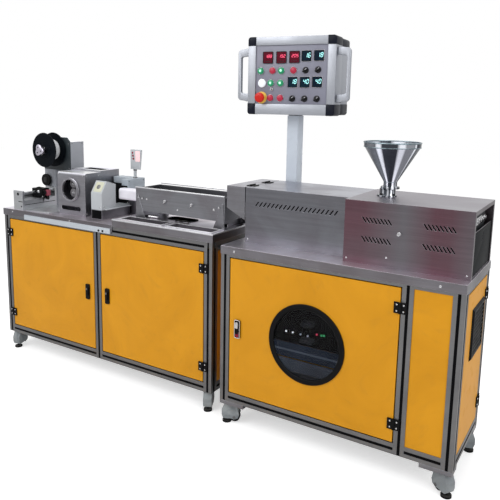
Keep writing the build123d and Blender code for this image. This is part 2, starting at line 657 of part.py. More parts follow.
with BuildPart() as end_door_fittings:
    with BuildSketch(Plane(origin=(EXT_END, (VENT_LOW_Y + VENT_HIGH_Y) / 2, (VENT_LOW_Z + VENT_HIGH_Z) / 2),
                           z_dir=(1, 0, 0))):
        Rectangle(VENT_SIDE, VENT_SIDE)
    extrude(amount=VENT_PROUD, taper=45)
    block(EXT_END - VENT_PROUD, EXT_END, VENT_LOW_Y, VENT_HIGH_Y, VENT_LOW_Z, VENT_HIGH_Z)
    low_y, high_y = VENT_LOW_Y + VENT_WALL, VENT_HIGH_Y - VENT_WALL
    low_z, high_z = VENT_LOW_Z + VENT_WALL, VENT_HIGH_Z - VENT_WALL
    block(EXT_END - VENT_PROUD, EXT_END + VENT_PROUD, low_y, high_y, low_z, high_z, mode=Mode.SUBTRACT)
    louvre_pitch = (high_z - low_z - 2 * LOUVRE_BITE) / LOUVRE_COUNT
    for row in range(LOUVRE_COUNT):
        foot = low_z + LOUVRE_BITE + row * louvre_pitch
        with BuildSketch(Plane(origin=(EXT_END, low_y - LOUVRE_BITE, foot), x_dir=(1, 0, 0), z_dir=(0, -1, 0))):
            with BuildLine():
                Polyline((VENT_PROUD - 1, 0), (VENT_PROUD - 1, LOUVRE_THICKNESS), (1 - VENT_PROUD, louvre_pitch),
                         (1 - VENT_PROUD, louvre_pitch - LOUVRE_THICKNESS), close=True)
            make_face()
        extrude(amount=low_y - high_y - 2 * LOUVRE_BITE)
    for z in ext_hinges:
        hinge_half((*END_PIN, z), (0, 1, 0), (-1, 0, 0), False)
save(end_door_fittings, "end_door_fittings")


# Levelling casters
def caster_plane(x, y, angle):
    """Floor plane under a caster, its x axis pointing to the pad."""
    turn = math.radians(angle)
    return Plane(origin=(x, y, 0), x_dir=(math.cos(turn), math.sin(turn), 0), z_dir=(0, 0, 1))


EXT_CASTERS = {
    "front_left": (EXT_X + CASTER_INSET, FRONT + CASTER_INSET, -160),
    "front_right": (EXT_END - CASTER_INSET, FRONT + CASTER_INSET, -35),
    "back_left": (EXT_X + CASTER_INSET, BACK - CASTER_INSET, 150),
    "back_right": (EXT_END - CASTER_INSET, BACK - CASTER_INSET, 20),
}
DOWN_CASTERS = {
    "front_left": (DOWN_X + CASTER_INSET, DOWN_FRONT + CASTER_INSET, -75),
    "front_right": (DOWN_END - CASTER_INSET, DOWN_FRONT + CASTER_INSET, -65),
    "back_left": (DOWN_X + CASTER_INSET, DOWN_BACK - CASTER_INSET, 110),
    "back_right": (DOWN_END - CASTER_INSET, DOWN_BACK - CASTER_INSET, 80),
}
casters = [caster_plane(*place) for place in (*EXT_CASTERS.values(), *DOWN_CASTERS.values())]
FORK_HALF = WHEEL_WIDTH / 2 + FORK_CLEARANCE
AXLE_Z = WHEEL_LIFT + WHEEL_RADIUS
FORK_TOP = CASTER_HEIGHT - CASTER_PLATE
BODY_BOTTOM = 22.0
STEM_CLEARANCE = 1.0
FORK_CORNER = 5.0

with BuildPart() as corner_plates:
    for x, y, angle in EXT_CASTERS.values():
        inward = 1 if x < (EXT_X + EXT_END) / 2 else -1
        outer = EXT_X if inward > 0 else EXT_END
        depth = 1 if y < (FRONT + BACK) / 2 else -1
        edge = FRONT if depth > 0 else BACK
        x_low, x_high = sorted((outer, outer + inward * CORNER_PLATE_LENGTH))
        y_low, y_high = sorted((edge, edge + depth * (CASTER_INSET + CASTER_PLATE_SIDE / 2)))
        block(x_low, x_high, y_low, y_high, CASTER_HEIGHT, EXT_BOTTOM)
save(corner_plates, "corner_plates")

with BuildPart() as caster_bodies:
    for place in casters:
        with BuildSketch(place.offset(FORK_TOP)):
            RectangleRounded(CASTER_PLATE_SIDE, CASTER_PLATE_SIDE, 6)
        extrude(amount=CASTER_PLATE)
        side = Plane(origin=place.origin, x_dir=place.x_dir, z_dir=-place.y_dir)
        with BuildSketch(side.offset(-FORK_HALF - FORK_WALL)):
            with BuildLine():
                Polyline((-26, FORK_TOP), (30, FORK_TOP), (45, 66), (45, 40), (38, BODY_BOTTOM), (16, BODY_BOTTOM),
                         (0, 24), (-14, 20), (-32, 28), (-38, 44), (-26, FORK_TOP))
            make_face()
            fillet(vertices(), FORK_CORNER)
        extrude(amount=2 * (FORK_HALF + FORK_WALL))
        with BuildSketch(place):
            with Locations((WHEEL_RADIUS + FORK_CLEARANCE - WHEEL_OFFSET - FORK_REACH / 2, 0)):
                Rectangle(FORK_REACH, 2 * FORK_HALF)
        extrude(amount=AXLE_Z + WHEEL_RADIUS + FORK_CLEARANCE, mode=Mode.SUBTRACT)
        pad_plane = Plane(origin=place.origin + PAD_OFFSET * place.x_dir, z_dir=(0, 0, 1))
        with BuildSketch(pad_plane):
            Circle(PAD_STEM_RADIUS + STEM_CLEARANCE)
        extrude(amount=THUMBWHEEL_Z, mode=Mode.SUBTRACT)
        with BuildSketch(pad_plane.offset(THUMBWHEEL_Z)):
            Circle(THUMBWHEEL_RADIUS + THUMBWHEEL_CLEARANCE)
        extrude(amount=THUMBWHEEL_HEIGHT, mode=Mode.SUBTRACT)
save(caster_bodies, "caster_bodies")

with BuildPart() as leveling_pads:
    for place in casters:
        pad_plane = Plane(origin=place.origin + PAD_OFFSET * place.x_dir, z_dir=(0, 0, 1))
        with BuildSketch(pad_plane):
            Circle(PAD_RADIUS)
        extrude(amount=PAD_THICKNESS)
        with BuildSketch(pad_plane.offset(PAD_THICKNESS)):
            Circle(PAD_STEM_RADIUS)
        extrude(amount=THUMBWHEEL_Z - PAD_THICKNESS)
        with BuildSketch(pad_plane.offset(THUMBWHEEL_Z)):
            Circle(THUMBWHEEL_RADIUS)
        extrude(amount=THUMBWHEEL_HEIGHT)
save(leveling_pads, "leveling_pads")

wheel_axles = {}
for corner, (x, y, angle) in EXT_CASTERS.items():
    floor = caster_plane(x, y, angle)
    axle = Plane(origin=floor.origin - WHEEL_OFFSET * floor.x_dir + Vector(0, 0, AXLE_Z), z_dir=floor.y_dir)
    with BuildPart() as caster_wheel:
        with BuildSketch(axle.offset(-WHEEL_WIDTH / 2)):
            Circle(WHEEL_RADIUS)
        extrude(amount=WHEEL_WIDTH)
        with BuildSketch(axle.offset(-FORK_HALF + BEARING_PLAY)):
            Circle(8)
        extrude(amount=2 * (FORK_HALF - BEARING_PLAY))
    wheel_axles[corner] = axle
    save(caster_wheel, f"caster_wheel_{corner}")

# Covers, gearbox and barrel
DRIVE_X = EXT_END - COVER_END_INSET - DRIVE_COVER_LENGTH
BARREL_X = DRIVE_X - BARREL_COVER_LENGTH
DRIVE_END = DRIVE_X + DRIVE_COVER_LENGTH
COVER_FRONT = FRONT + DRIVE_COVER_FRONT
COVER_REAR = FRONT + COVER_BACK
BARREL_FRONT = FRONT + BARREL_COVER_FRONT
TABLE = EXTRUDER_TABLE_TOP
HOPPER_CX = DRIVE_X + HOPPER_START

def slot_row(first, front, z, pitch, count, lean):
    """Cut a row of leaning slots through a front sheet, the first one's middle at x = first."""
    with BuildSketch(Plane(origin=(first, front, z), x_dir=(1, 0, 0), z_dir=(0, -1, 0))) as slots:
        for index in range(count):
            with BuildLine():
                x = index * pitch
                low = x - lean / 2
                high = x + lean / 2
                half = VENT_SLOT_HEIGHT / 2
                side = VENT_SLOT_WIDTH / 2
                Polyline((low - side, -half), (low + side, -half), (high + side, half), (high - side, half), close=True)
            make_face()
    extrude(slots.sketch, amount=-STEEL, mode=Mode.SUBTRACT)


with BuildPart() as drive_cover:
    block(DRIVE_X, DRIVE_END, COVER_FRONT, COVER_REAR, TABLE, COVER_TOP)
    block(DRIVE_X + STEEL, DRIVE_END - STEEL, COVER_FRONT + STEEL, COVER_REAR - STEEL, TABLE, COVER_TOP - STEEL,
          mode=Mode.SUBTRACT)
    block(DRIVE_END - STEEL, DRIVE_END, COVER_FRONT + END_FLANGE, COVER_REAR - END_FLANGE, TABLE,
          COVER_TOP - END_FLANGE, mode=Mode.SUBTRACT)
    rod((DRIVE_X, MID, BARREL_AXIS_Z), (1, 0, 0), BARREL_RADIUS_OUT + 10, STEEL, Mode.SUBTRACT)
    rod((HOPPER_CX, MID, COVER_TOP - STEEL), (0, 0, 1), THROAT_RADIUS + 1, STEEL, Mode.SUBTRACT)
    block(DRIVE_END - END_PANEL_INSET - STEEL, DRIVE_END - END_PANEL_INSET, COVER_FRONT + STEEL,
          COVER_REAR - STEEL, TABLE, TABLE + END_PANEL_HEIGHT)
    block(DRIVE_END - END_PANEL_INSET - STEEL, DRIVE_END - END_PANEL_INSET, MID - END_SLIT_WIDTH / 2,
          MID + END_SLIT_WIDTH / 2, END_SLIT_Z - END_SLIT_HEIGHT / 2, END_SLIT_Z + END_SLIT_HEIGHT / 2,
          mode=Mode.SUBTRACT)
    row_length = (DRIVE_SLOT_COUNT - 1) * DRIVE_SLOT_PITCH
    for middle in (DRIVE_X + DRIVE_SLOT_LEFT, DRIVE_END - DRIVE_SLOT_RIGHT):
        for z in DRIVE_SLOT_ROWS:
            slot_row(middle - row_length / 2, COVER_FRONT, z, DRIVE_SLOT_PITCH, DRIVE_SLOT_COUNT, -VENT_SLOT_LEAN)
save(drive_cover, "drive_cover")

with BuildPart() as barrel_cover:
    block(BARREL_X, DRIVE_X, BARREL_FRONT, COVER_REAR, TABLE, COVER_TOP - STEEL)
    block(BARREL_X + STEEL, DRIVE_X, BARREL_FRONT + STEEL, COVER_REAR - STEEL, TABLE, COVER_TOP - 2 * STEEL,
          mode=Mode.SUBTRACT)
    rod((BARREL_X, MID, BARREL_AXIS_Z), (1, 0, 0), BARREL_RADIUS_OUT + 10, STEEL, Mode.SUBTRACT)
    slot_row(BARREL_X + BARREL_COVER_LENGTH / 2 - (BARREL_SLOT_COUNT - 1) * BARREL_SLOT_PITCH / 2, BARREL_FRONT,
             BARREL_SLOT_Z, BARREL_SLOT_PITCH, BARREL_SLOT_COUNT, VENT_SLOT_LEAN)
save(barrel_cover, "barrel_cover")

GEAR_X = HOPPER_CX + GEARBOX_START
with BuildPart() as gearbox:
    block(GEAR_X, GEAR_X + GEARBOX_LENGTH, MID - GEARBOX_WIDTH / 2, MID + GEARBOX_WIDTH / 2, TABLE,
          TABLE + GEARBOX_HEIGHT)
    with BuildSketch(Plane(origin=(GEAR_X, MID, BARREL_AXIS_Z), z_dir=(-1, 0, 0))):
        Circle(GEARBOX_FLANGE_RADIUS)
    extrude(amount=GEARBOX_FLANGE)
save(gearbox, "gearbox")

BARREL_END = BARREL_X + 20.0
with BuildPart() as screw_barrel:
    rod((BARREL_END, MID, BARREL_AXIS_Z), (1, 0, 0), BARREL_RADIUS_OUT,
        GEAR_X - GEARBOX_FLANGE - BARREL_END)
    with BuildSketch(Plane(origin=(BARREL_END, MID, BARREL_AXIS_Z), z_dir=(-1, 0, 0))):
        Circle(DIE_RADIUS)
    extrude(amount=DIE_LENGTH)
    rod((BARREL_END - DIE_LENGTH, MID, BARREL_AXIS_Z), (-1, 0, 0), NOZZLE_RADIUS, NOZZLE_LENGTH)
    throat = (HOPPER_CX, MID, BARREL_AXIS_Z)
    rod(throat, (0, 0, 1), THROAT_RADIUS, HOPPER_FLANGE_TOP - HOPPER_FLANGE_THICKNESS - BARREL_AXIS_Z)
    rod((*throat[:2], COVER_TOP), (0, 0, 1), THROAT_FLANGE_RADIUS, THROAT_FLANGE_THICKNESS)
    rod(throat, (0, 0, 1), THROAT_BORE, HOPPER_FLANGE_TOP - BARREL_AXIS_Z, Mode.SUBTRACT)
save(screw_barrel, "screw_barrel")

# Die guard, hinged along the seam on top of the barrel cover
GUARD_RIGHT = BARREL_X - DIE_GUARD_GAP
GUARD_LEFT = BARREL_X - DIE_GUARD_LENGTH
GUARD_TOP = COVER_TOP - STEEL
GUARD_BACK = BARREL_FRONT + DIE_GUARD_DEPTH
GUARD_PIN_Z = GUARD_TOP + GUARD_BARREL_RADIUS
GUARD_PIN_X = BARREL_X - DIE_GUARD_GAP / 2
guard_hinges = (BARREL_FRONT + GUARD_HINGE_FRONT, GUARD_BACK - GUARD_HINGE_REAR)
with BuildPart() as die_guard:
    with BuildSketch(Plane(origin=(0, BARREL_FRONT, 0), x_dir=(1, 0, 0), z_dir=(0, -1, 0))):
        with BuildLine():
            Polyline((GUARD_LEFT, GUARD_TOP), (GUARD_RIGHT, GUARD_TOP),
                     (GUARD_RIGHT, GUARD_TOP - DIE_GUARD_RIGHT_HEIGHT),
                     (GUARD_LEFT, GUARD_TOP - DIE_GUARD_LEFT_HEIGHT), close=True)
        make_face()
    extrude(amount=-DIE_GUARD_DEPTH)
    with BuildSketch(Plane(origin=(0, BARREL_FRONT + STEEL, 0), x_dir=(1, 0, 0), z_dir=(0, -1, 0))):
        with BuildLine():
            Polyline((GUARD_LEFT + STEEL, GUARD_TOP - STEEL), (GUARD_RIGHT, GUARD_TOP - STEEL),
                     (GUARD_RIGHT, TABLE), (GUARD_LEFT + STEEL, TABLE), close=True)
        make_face()
    extrude(amount=-(DIE_GUARD_DEPTH - 2 * STEEL), mode=Mode.SUBTRACT)
save(die_guard, "die_guard")


def guard_hinge_half(y, side, fixed):
    """Half of a guard hinge lying on the covers, its pin along the seam."""
    start = y - GUARD_HINGE_LENGTH / 2
    with BuildSketch(Plane(origin=(GUARD_PIN_X, start, GUARD_PIN_Z), x_dir=(1, 0, 0), z_dir=(0, -1, 0))) as section:
        with Locations((side * GUARD_LEAF / 2, -GUARD_BARREL_RADIUS + GUARD_LEAF_THICKNESS / 2)):
            Rectangle(GUARD_LEAF, GUARD_LEAF_THICKNESS)
        Circle(GUARD_BARREL_RADIUS)
    extrude(section.sketch, amount=-GUARD_HINGE_LENGTH)
    third = GUARD_HINGE_LENGTH / 3
    cut = GUARD_BARREL_RADIUS + KNUCKLE_PLAY
    if fixed:
        rod((GUARD_PIN_X, start + third - KNUCKLE_PLAY, GUARD_PIN_Z), (0, 1, 0), cut, third + 2 * KNUCKLE_PLAY,
            Mode.SUBTRACT)
        rod((GUARD_PIN_X, start + third - KNUCKLE_PLAY, GUARD_PIN_Z), (0, 1, 0), GUARD_PIN_RADIUS,
            third + 2 * KNUCKLE_PLAY)
    else:
        rod((GUARD_PIN_X, start, GUARD_PIN_Z), (0, 1, 0), cut, third, Mode.SUBTRACT)
        rod((GUARD_PIN_X, start + 2 * third, GUARD_PIN_Z), (0, 1, 0), cut, third, Mode.SUBTRACT)
        rod((GUARD_PIN_X, start, GUARD_PIN_Z), (0, 1, 0), GUARD_PIN_RADIUS + RUNNING_FIT, GUARD_HINGE_LENGTH,
            Mode.SUBTRACT)


with BuildPart() as fixed_hinges:
    for z in ext_hinges:
        hinge_half((*EXT_PIN, z), (1, 0, 0), (0, 1, 0), True)
        hinge_half((*END_PIN, z), (0, 1, 0), (-1, 0, 0), True)
    for z in down_hinges:
        hinge_half((*LEFT_PIN, z), (-1, 0, 0), (0, 1, 0), True)
        hinge_half((*RIGHT_PIN, z), (1, 0, 0), (0, 1, 0), True)
    for y in guard_hinges:
        guard_hinge_half(y, 1, True)
save(fixed_hinges, "fixed_hinges")

with BuildPart() as guard_hinges_moving:
    for y in guard_hinges:
        guard_hinge_half(y, -1, False)
save(guard_hinges_moving, "guard_hinges_moving")

# Hopper and its flange
hopper_plane = Plane(origin=(HOPPER_CX, MID, 0), x_dir=(1, 0, 0), z_dir=(0, -1, 0))
RIM_BOTTOM = HOPPER_TOP - HOPPER_RIM_HEIGHT
with BuildPart() as hopper:
    with BuildSketch(hopper_plane):
        with BuildLine():
            Polyline(
                (HOPPER_RIM_RADIUS - HOPPER_RIM_WALL, HOPPER_TOP), (HOPPER_RIM_RADIUS, HOPPER_TOP),
                (HOPPER_RIM_RADIUS, RIM_BOTTOM), (HOPPER_RIM_RADIUS - 3, RIM_BOTTOM),
                (HOPPER_NECK_RADIUS, HOPPER_NECK_TOP), (HOPPER_NECK_RADIUS, HOPPER_FLANGE_TOP),
                (HOPPER_FLANGE_RADIUS, HOPPER_FLANGE_TOP),
                (HOPPER_FLANGE_RADIUS, HOPPER_FLANGE_TOP - HOPPER_FLANGE_THICKNESS),
                (THROAT_BORE, HOPPER_FLANGE_TOP - HOPPER_FLANGE_THICKNESS),
                (THROAT_BORE, HOPPER_FLANGE_TOP), (HOPPER_NECK_RADIUS - HOPPER_WALL, HOPPER_FLANGE_TOP),
                (HOPPER_NECK_RADIUS - HOPPER_WALL, HOPPER_NECK_TOP + 1),
                (HOPPER_RIM_RADIUS - HOPPER_RIM_WALL, RIM_BOTTOM + 3), close=True)
        make_face()
    revolve(axis=Axis((HOPPER_CX, MID, 0), (0, 0, 1)))
    with BuildSketch(Plane(origin=(HOPPER_CX, MID, HOPPER_FLANGE_TOP - HOPPER_FLANGE_THICKNESS))):
        Rectangle(2 * HOPPER_TAB_REACH, HOPPER_TAB_WIDTH)
        Circle(HOPPER_NECK_RADIUS, mode=Mode.SUBTRACT)
    extrude(amount=HOPPER_FLANGE_THICKNESS)
save(hopper, "hopper")

# Post, control box and controls
POST_FRONT = BACK + POST_STANDOFF
POST_CX = EXT_X + POST_X
POST_CY = POST_FRONT + POST_SIDE / 2
with BuildPart() as control_post:
    with BuildSketch(Plane.XY.offset(EXT_BOTTOM)):
        with Locations((POST_CX, POST_CY)):
            RectangleRounded(POST_SIDE, POST_SIDE, 5)
    extrude(amount=POST_TOP - EXT_BOTTOM)
    for z in (EXT_BOTTOM + BAR / 2, EXT_TOP - BAR + 2):
        block(POST_CX - POST_BRACKET_LENGTH / 2, POST_CX + POST_BRACKET_LENGTH / 2, BACK, POST_FRONT, z - 7, z + 7)
save(control_post, "control_post")

BOX_BOTTOM = POST_TOP + SWIVEL_HEIGHT
BOX_X_DIR = (math.cos(yaw), math.sin(yaw), 0)
BOX_OUT = (math.sin(yaw), -math.cos(yaw), 0)
BOX_CX = POST_CX + BOX_SHIFT
box_middle = Vector(BOX_CX, POST_CY, BOX_BOTTOM + BOX_HEIGHT / 2)
FACE_DEPTH = BOX_DEPTH / 2 - BOX_FACE_RECESS
PANEL_WIDTH = BOX_LENGTH - 2 * BOX_EDGE
PANEL_HEIGHT = BOX_HEIGHT - 2 * BOX_EDGE
box_face = Plane(origin=box_middle + FACE_DEPTH * Vector(*BOX_OUT), x_dir=BOX_X_DIR, z_dir=BOX_OUT)
box_back = Plane(origin=box_middle - BOX_DEPTH / 2 * Vector(*BOX_OUT), x_dir=BOX_X_DIR, z_dir=BOX_OUT)
with BuildPart() as control_box:
    with BuildSketch(box_back):
        RectangleRounded(BOX_LENGTH, BOX_HEIGHT, BOX_CORNER)
    extrude(amount=BOX_DEPTH)
    with BuildSketch(box_face):
        Rectangle(PANEL_WIDTH, PANEL_HEIGHT)
    extrude(amount=BOX_FACE_RECESS, mode=Mode.SUBTRACT)
    with BuildSketch(Plane(origin=(POST_CX, POST_CY, POST_TOP))):
        Circle(SWIVEL_RADIUS)
    extrude(amount=SWIVEL_HEIGHT)
save(control_box, "control_box")

# Controls, placed on a panel of LAYOUT_WIDTH by LAYOUT_HEIGHT and spread with the box
METERS = [(-114, 82), (-46, 82), (19, 82), (77, 84), (138, 85), (12, -34), (72, -34), (132, -33)]
BUTTONS = [(-148, 18), (-85, 18), (-46, 19), (19, 19), (-95, -38), (-47, -38), (-96, -109), (-46, -109)]
KNOBS = [(78, 21), (138, 23), (-88, -68), (16, -109), (76, -109), (136, -109)]
WHITE_LAMP = (-142, -38)
STOP_PLACE = (-145, -105)


def on_panel(place):
    """A control's place on the panel, from its place on the layout."""
    return (place[0] * PANEL_WIDTH / LAYOUT_WIDTH, place[1] * PANEL_HEIGHT / LAYOUT_HEIGHT)


def disc(place, start, radius, proud):
    """Round piece on the control panel, its foot at start in front of the panel."""
    with BuildSketch(box_face.offset(start)) as outline:
        with Locations(on_panel(place)):
            Circle(radius)
    extrude(outline.sketch, amount=proud)


with BuildPart() as panel_meters:
    for place in METERS:
        with BuildSketch(box_face):
            with Locations(on_panel(place)):
                Rectangle(METER_SIDE, METER_SIDE)
        extrude(amount=METER_PROUD)
save(panel_meters, "panel_meters")

with BuildPart() as panel_buttons:
    for place in BUTTONS:
        disc(place, 0, BUTTON_RADIUS, BUTTON_PROUD)
    disc(WHITE_LAMP, 0, LAMP_RADIUS, BUTTON_PROUD)
    for place in KNOBS:
        disc(place, 0, KNOB_RADIUS, KNOB_PROUD)
        with BuildSketch(box_face.offset(KNOB_PROUD)):
            with Locations(on_panel(place)):
                Rectangle(KNOB_GRIP, KNOB_GRIP_LENGTH)
        extrude(amount=KNOB_GRIP_PROUD - KNOB_PROUD)
save(panel_buttons, "panel_buttons")

with BuildPart() as emergency_stop:
    disc(STOP_PLACE, 0, STOP_RING_RADIUS, STOP_RING_PROUD)
    disc(STOP_PLACE, STOP_RING_PROUD, STOP_STEM_RADIUS, STOP_STEM_LENGTH)
    disc(STOP_PLACE, STOP_RING_PROUD + STOP_STEM_LENGTH, STOP_HEAD_RADIUS, STOP_HEAD_LENGTH)
save(emergency_stop, "emergency_stop")

HALF_SPAN = HANDLE_SPAN / 2
HANDLE_SLOPE = 10.0
HANDLE_INSIDE = HANDLE_REACH - HANDLE_BAR
with BuildPart() as box_handles:
    for side in (-1, 1):
        reach = (side * BOX_X_DIR[0], side * BOX_X_DIR[1], 0)
        root = box_middle + BOX_LENGTH / 2 * Vector(*reach) + HANDLE_WIDTH / 2 * Vector(*BOX_OUT)
        upright = Plane(origin=root, x_dir=reach, z_dir=BOX_OUT)
        with BuildSketch(upright.offset(-HANDLE_WIDTH)):
            with BuildLine():
                Polyline((0, -HALF_SPAN), (HANDLE_REACH - HANDLE_SLOPE, HANDLE_SLOPE - HALF_SPAN),
                         (HANDLE_REACH, 2 * HANDLE_SLOPE - HALF_SPAN), (HANDLE_REACH, HALF_SPAN - 2 * HANDLE_SLOPE),
                         (HANDLE_REACH - HANDLE_SLOPE, HALF_SPAN - HANDLE_SLOPE), (0, HALF_SPAN),
                         (0, HALF_SPAN - HANDLE_FOOT), (HANDLE_INSIDE, HALF_SPAN - HANDLE_FOOT - HANDLE_SLOPE),
                         (HANDLE_INSIDE, HANDLE_FOOT + HANDLE_SLOPE - HALF_SPAN),
                         (0, HANDLE_FOOT - HALF_SPAN), close=True)
            make_face()
        extrude(amount=HANDLE_WIDTH)
save(box_handles, "box_handles")

# Cooling trough on its feet, with bent gussets at its four corners
TROUGH_END = EXT_X - TROUGH_END_GAP
TROUGH_X = TROUGH_END - TROUGH_LENGTH
TROUGH_FRONT = MID - TROUGH_WIDTH / 2
TROUGH_BACK = MID + TROUGH_WIDTH / 2
with BuildPart() as cooling_trough:
    block(TROUGH_X, TROUGH_END, TROUGH_FRONT, TROUGH_BACK, TROUGH_BOTTOM, TROUGH_TOP)
    block(TROUGH_X, TROUGH_END, TROUGH_FRONT + TROUGH_WALL, TROUGH_BACK, TROUGH_TOP - TROUGH_REAR_DROP, TROUGH_TOP,
          mode=Mode.SUBTRACT)
    block(TROUGH_X + TROUGH_WALL, TROUGH_END - TROUGH_WALL, TROUGH_FRONT + TROUGH_WALL, TROUGH_BACK - TROUGH_WALL,
          TROUGH_BOTTOM + TROUGH_WALL, TROUGH_TOP, mode=Mode.SUBTRACT)
    for x in (TROUGH_X + TROUGH_FOOT_INSET, TROUGH_END - TROUGH_FOOT_INSET - TROUGH_FOOT_WALL):
        block(x, x + TROUGH_FOOT_WALL, TROUGH_FRONT, TROUGH_BACK, TRAY_TOP, TROUGH_BOTTOM)
    for y, out in ((TROUGH_FRONT, -1), (TROUGH_BACK, 1)):
        face = y + (out * GUSSET_THICKNESS if out > 0 else 0)
        low, high = sorted((y, y - out * GUSSET_FLANGE))
        for x, tip in ((TROUGH_X, TROUGH_X + GUSSET_TIP), (TROUGH_END - GUSSET_BASE, TROUGH_END - 2 * GUSSET_TIP)):
            with BuildSketch(Plane(origin=(0, face, 0), x_dir=(1, 0, 0), z_dir=(0, -1, 0))):
                with BuildLine():
                    Polyline((x, TRAY_TOP), (x + GUSSET_BASE, TRAY_TOP), (tip + GUSSET_TIP, GUSSET_APEX_Z),
                             (tip, GUSSET_APEX_Z), close=True)
                make_face()
            extrude(amount=GUSSET_THICKNESS)
            block(x, x + GUSSET_BASE, low, high, TRAY_TOP, TRAY_TOP + GUSSET_THICKNESS)
save(cooling_trough, "cooling_trough")

# Gauge, entry block, haul drive box and its display, all placed from the flat table's right end
GAUGE_LEFT = FLAT_END - GAUGE_OFFSET
GAUGE_Y = FRONT + GAUGE_FRONT
GAUGE_BASE = FLAT_TABLE_TOP + GAUGE_STAND_HEIGHT
with BuildPart() as gauge_stand:
    block(GAUGE_LEFT, GAUGE_LEFT + GAUGE_WIDTH, GAUGE_Y, GAUGE_Y + GAUGE_STAND_DEPTH, FLAT_TABLE_TOP, GAUGE_BASE)
save(gauge_stand, "gauge_stand")

with BuildPart() as gauge_housing:
    block(GAUGE_LEFT, GAUGE_LEFT + GAUGE_WIDTH, GAUGE_Y, GAUGE_Y + GAUGE_STAND_DEPTH, GAUGE_BASE,
          GAUGE_BASE + GAUGE_PLATE)
    with BuildSketch(Plane(origin=(GAUGE_LEFT, GAUGE_Y, GAUGE_BASE + GAUGE_PLATE), x_dir=(0, 1, 0), z_dir=(1, 0, 0))):
        with BuildLine():
            Polyline((0, 0), (0, GAUGE_FRONT_HEIGHT), (GAUGE_SLOPE_DEPTH, GAUGE_HEIGHT),
                     (GAUGE_DEPTH, GAUGE_BACK_HEIGHT), (GAUGE_DEPTH, 0), close=True)
        make_face()
    extrude(amount=GAUGE_WIDTH)
save(gauge_housing, "gauge_housing")

ENTRY_X = TROUGH_X - ENTRY_NECK_LENGTH - ENTRY_BLOCK_LENGTH
with BuildPart() as entry_block:
    with BuildSketch(Plane(origin=(ENTRY_X, MID, BARREL_AXIS_Z), z_dir=(1, 0, 0))):
        RectangleRounded(ENTRY_BLOCK_WIDTH, ENTRY_BLOCK_HEIGHT, ENTRY_BLOCK_CORNER)
    extrude(amount=ENTRY_BLOCK_LENGTH)
    rod((ENTRY_X + ENTRY_BLOCK_LENGTH, MID, BARREL_AXIS_Z), (1, 0, 0), ENTRY_NECK_RADIUS, ENTRY_NECK_LENGTH)
save(entry_block, "entry_block")

HAUL_Y = FRONT + HAUL_BOX_FRONT
with BuildPart() as haul_drive_box:
    block(GAUGE_LEFT, GAUGE_LEFT + HAUL_LENGTH, HAUL_Y, HAUL_Y + HAUL_BOX_DEPTH, HAUL_BOX_BOTTOM, HAUL_LOW_TOP)
    block(GAUGE_LEFT + HAUL_LOW_LENGTH, GAUGE_LEFT + HAUL_LENGTH, HAUL_Y, HAUL_Y + HAUL_BOX_DEPTH, HAUL_LOW_TOP,
          HAUL_HIGH_TOP)
    block(GAUGE_LEFT + HAUL_STEM_INSET, GAUGE_LEFT + HAUL_STEM_INSET + HAUL_STEM_LENGTH, HAUL_Y + HAUL_STEM_SETBACK,
          HAUL_Y + HAUL_STEM_SETBACK + HAUL_STEM_DEPTH, FLAT_TABLE_TOP, HAUL_BOX_BOTTOM)
save(haul_drive_box, "haul_drive_box")

DISPLAY_X = FLAT_END - DISPLAY_OFFSET
DISPLAY_Y = HAUL_Y + DISPLAY_SETBACK
POLE_Y = DISPLAY_Y + DISPLAY_DEPTH / 2
with BuildPart() as display_box:
    block(DISPLAY_X - DISPLAY_POLE / 2, DISPLAY_X + DISPLAY_POLE / 2, POLE_Y - DISPLAY_POLE / 2,
          POLE_Y + DISPLAY_POLE / 2, HAUL_HIGH_TOP, DISPLAY_BOTTOM)
    block(DISPLAY_X - DISPLAY_WIDTH / 2, DISPLAY_X + DISPLAY_WIDTH / 2, DISPLAY_Y, DISPLAY_Y + DISPLAY_DEPTH,
          DISPLAY_BOTTOM, DISPLAY_TOP)
save(display_box, "display_box")

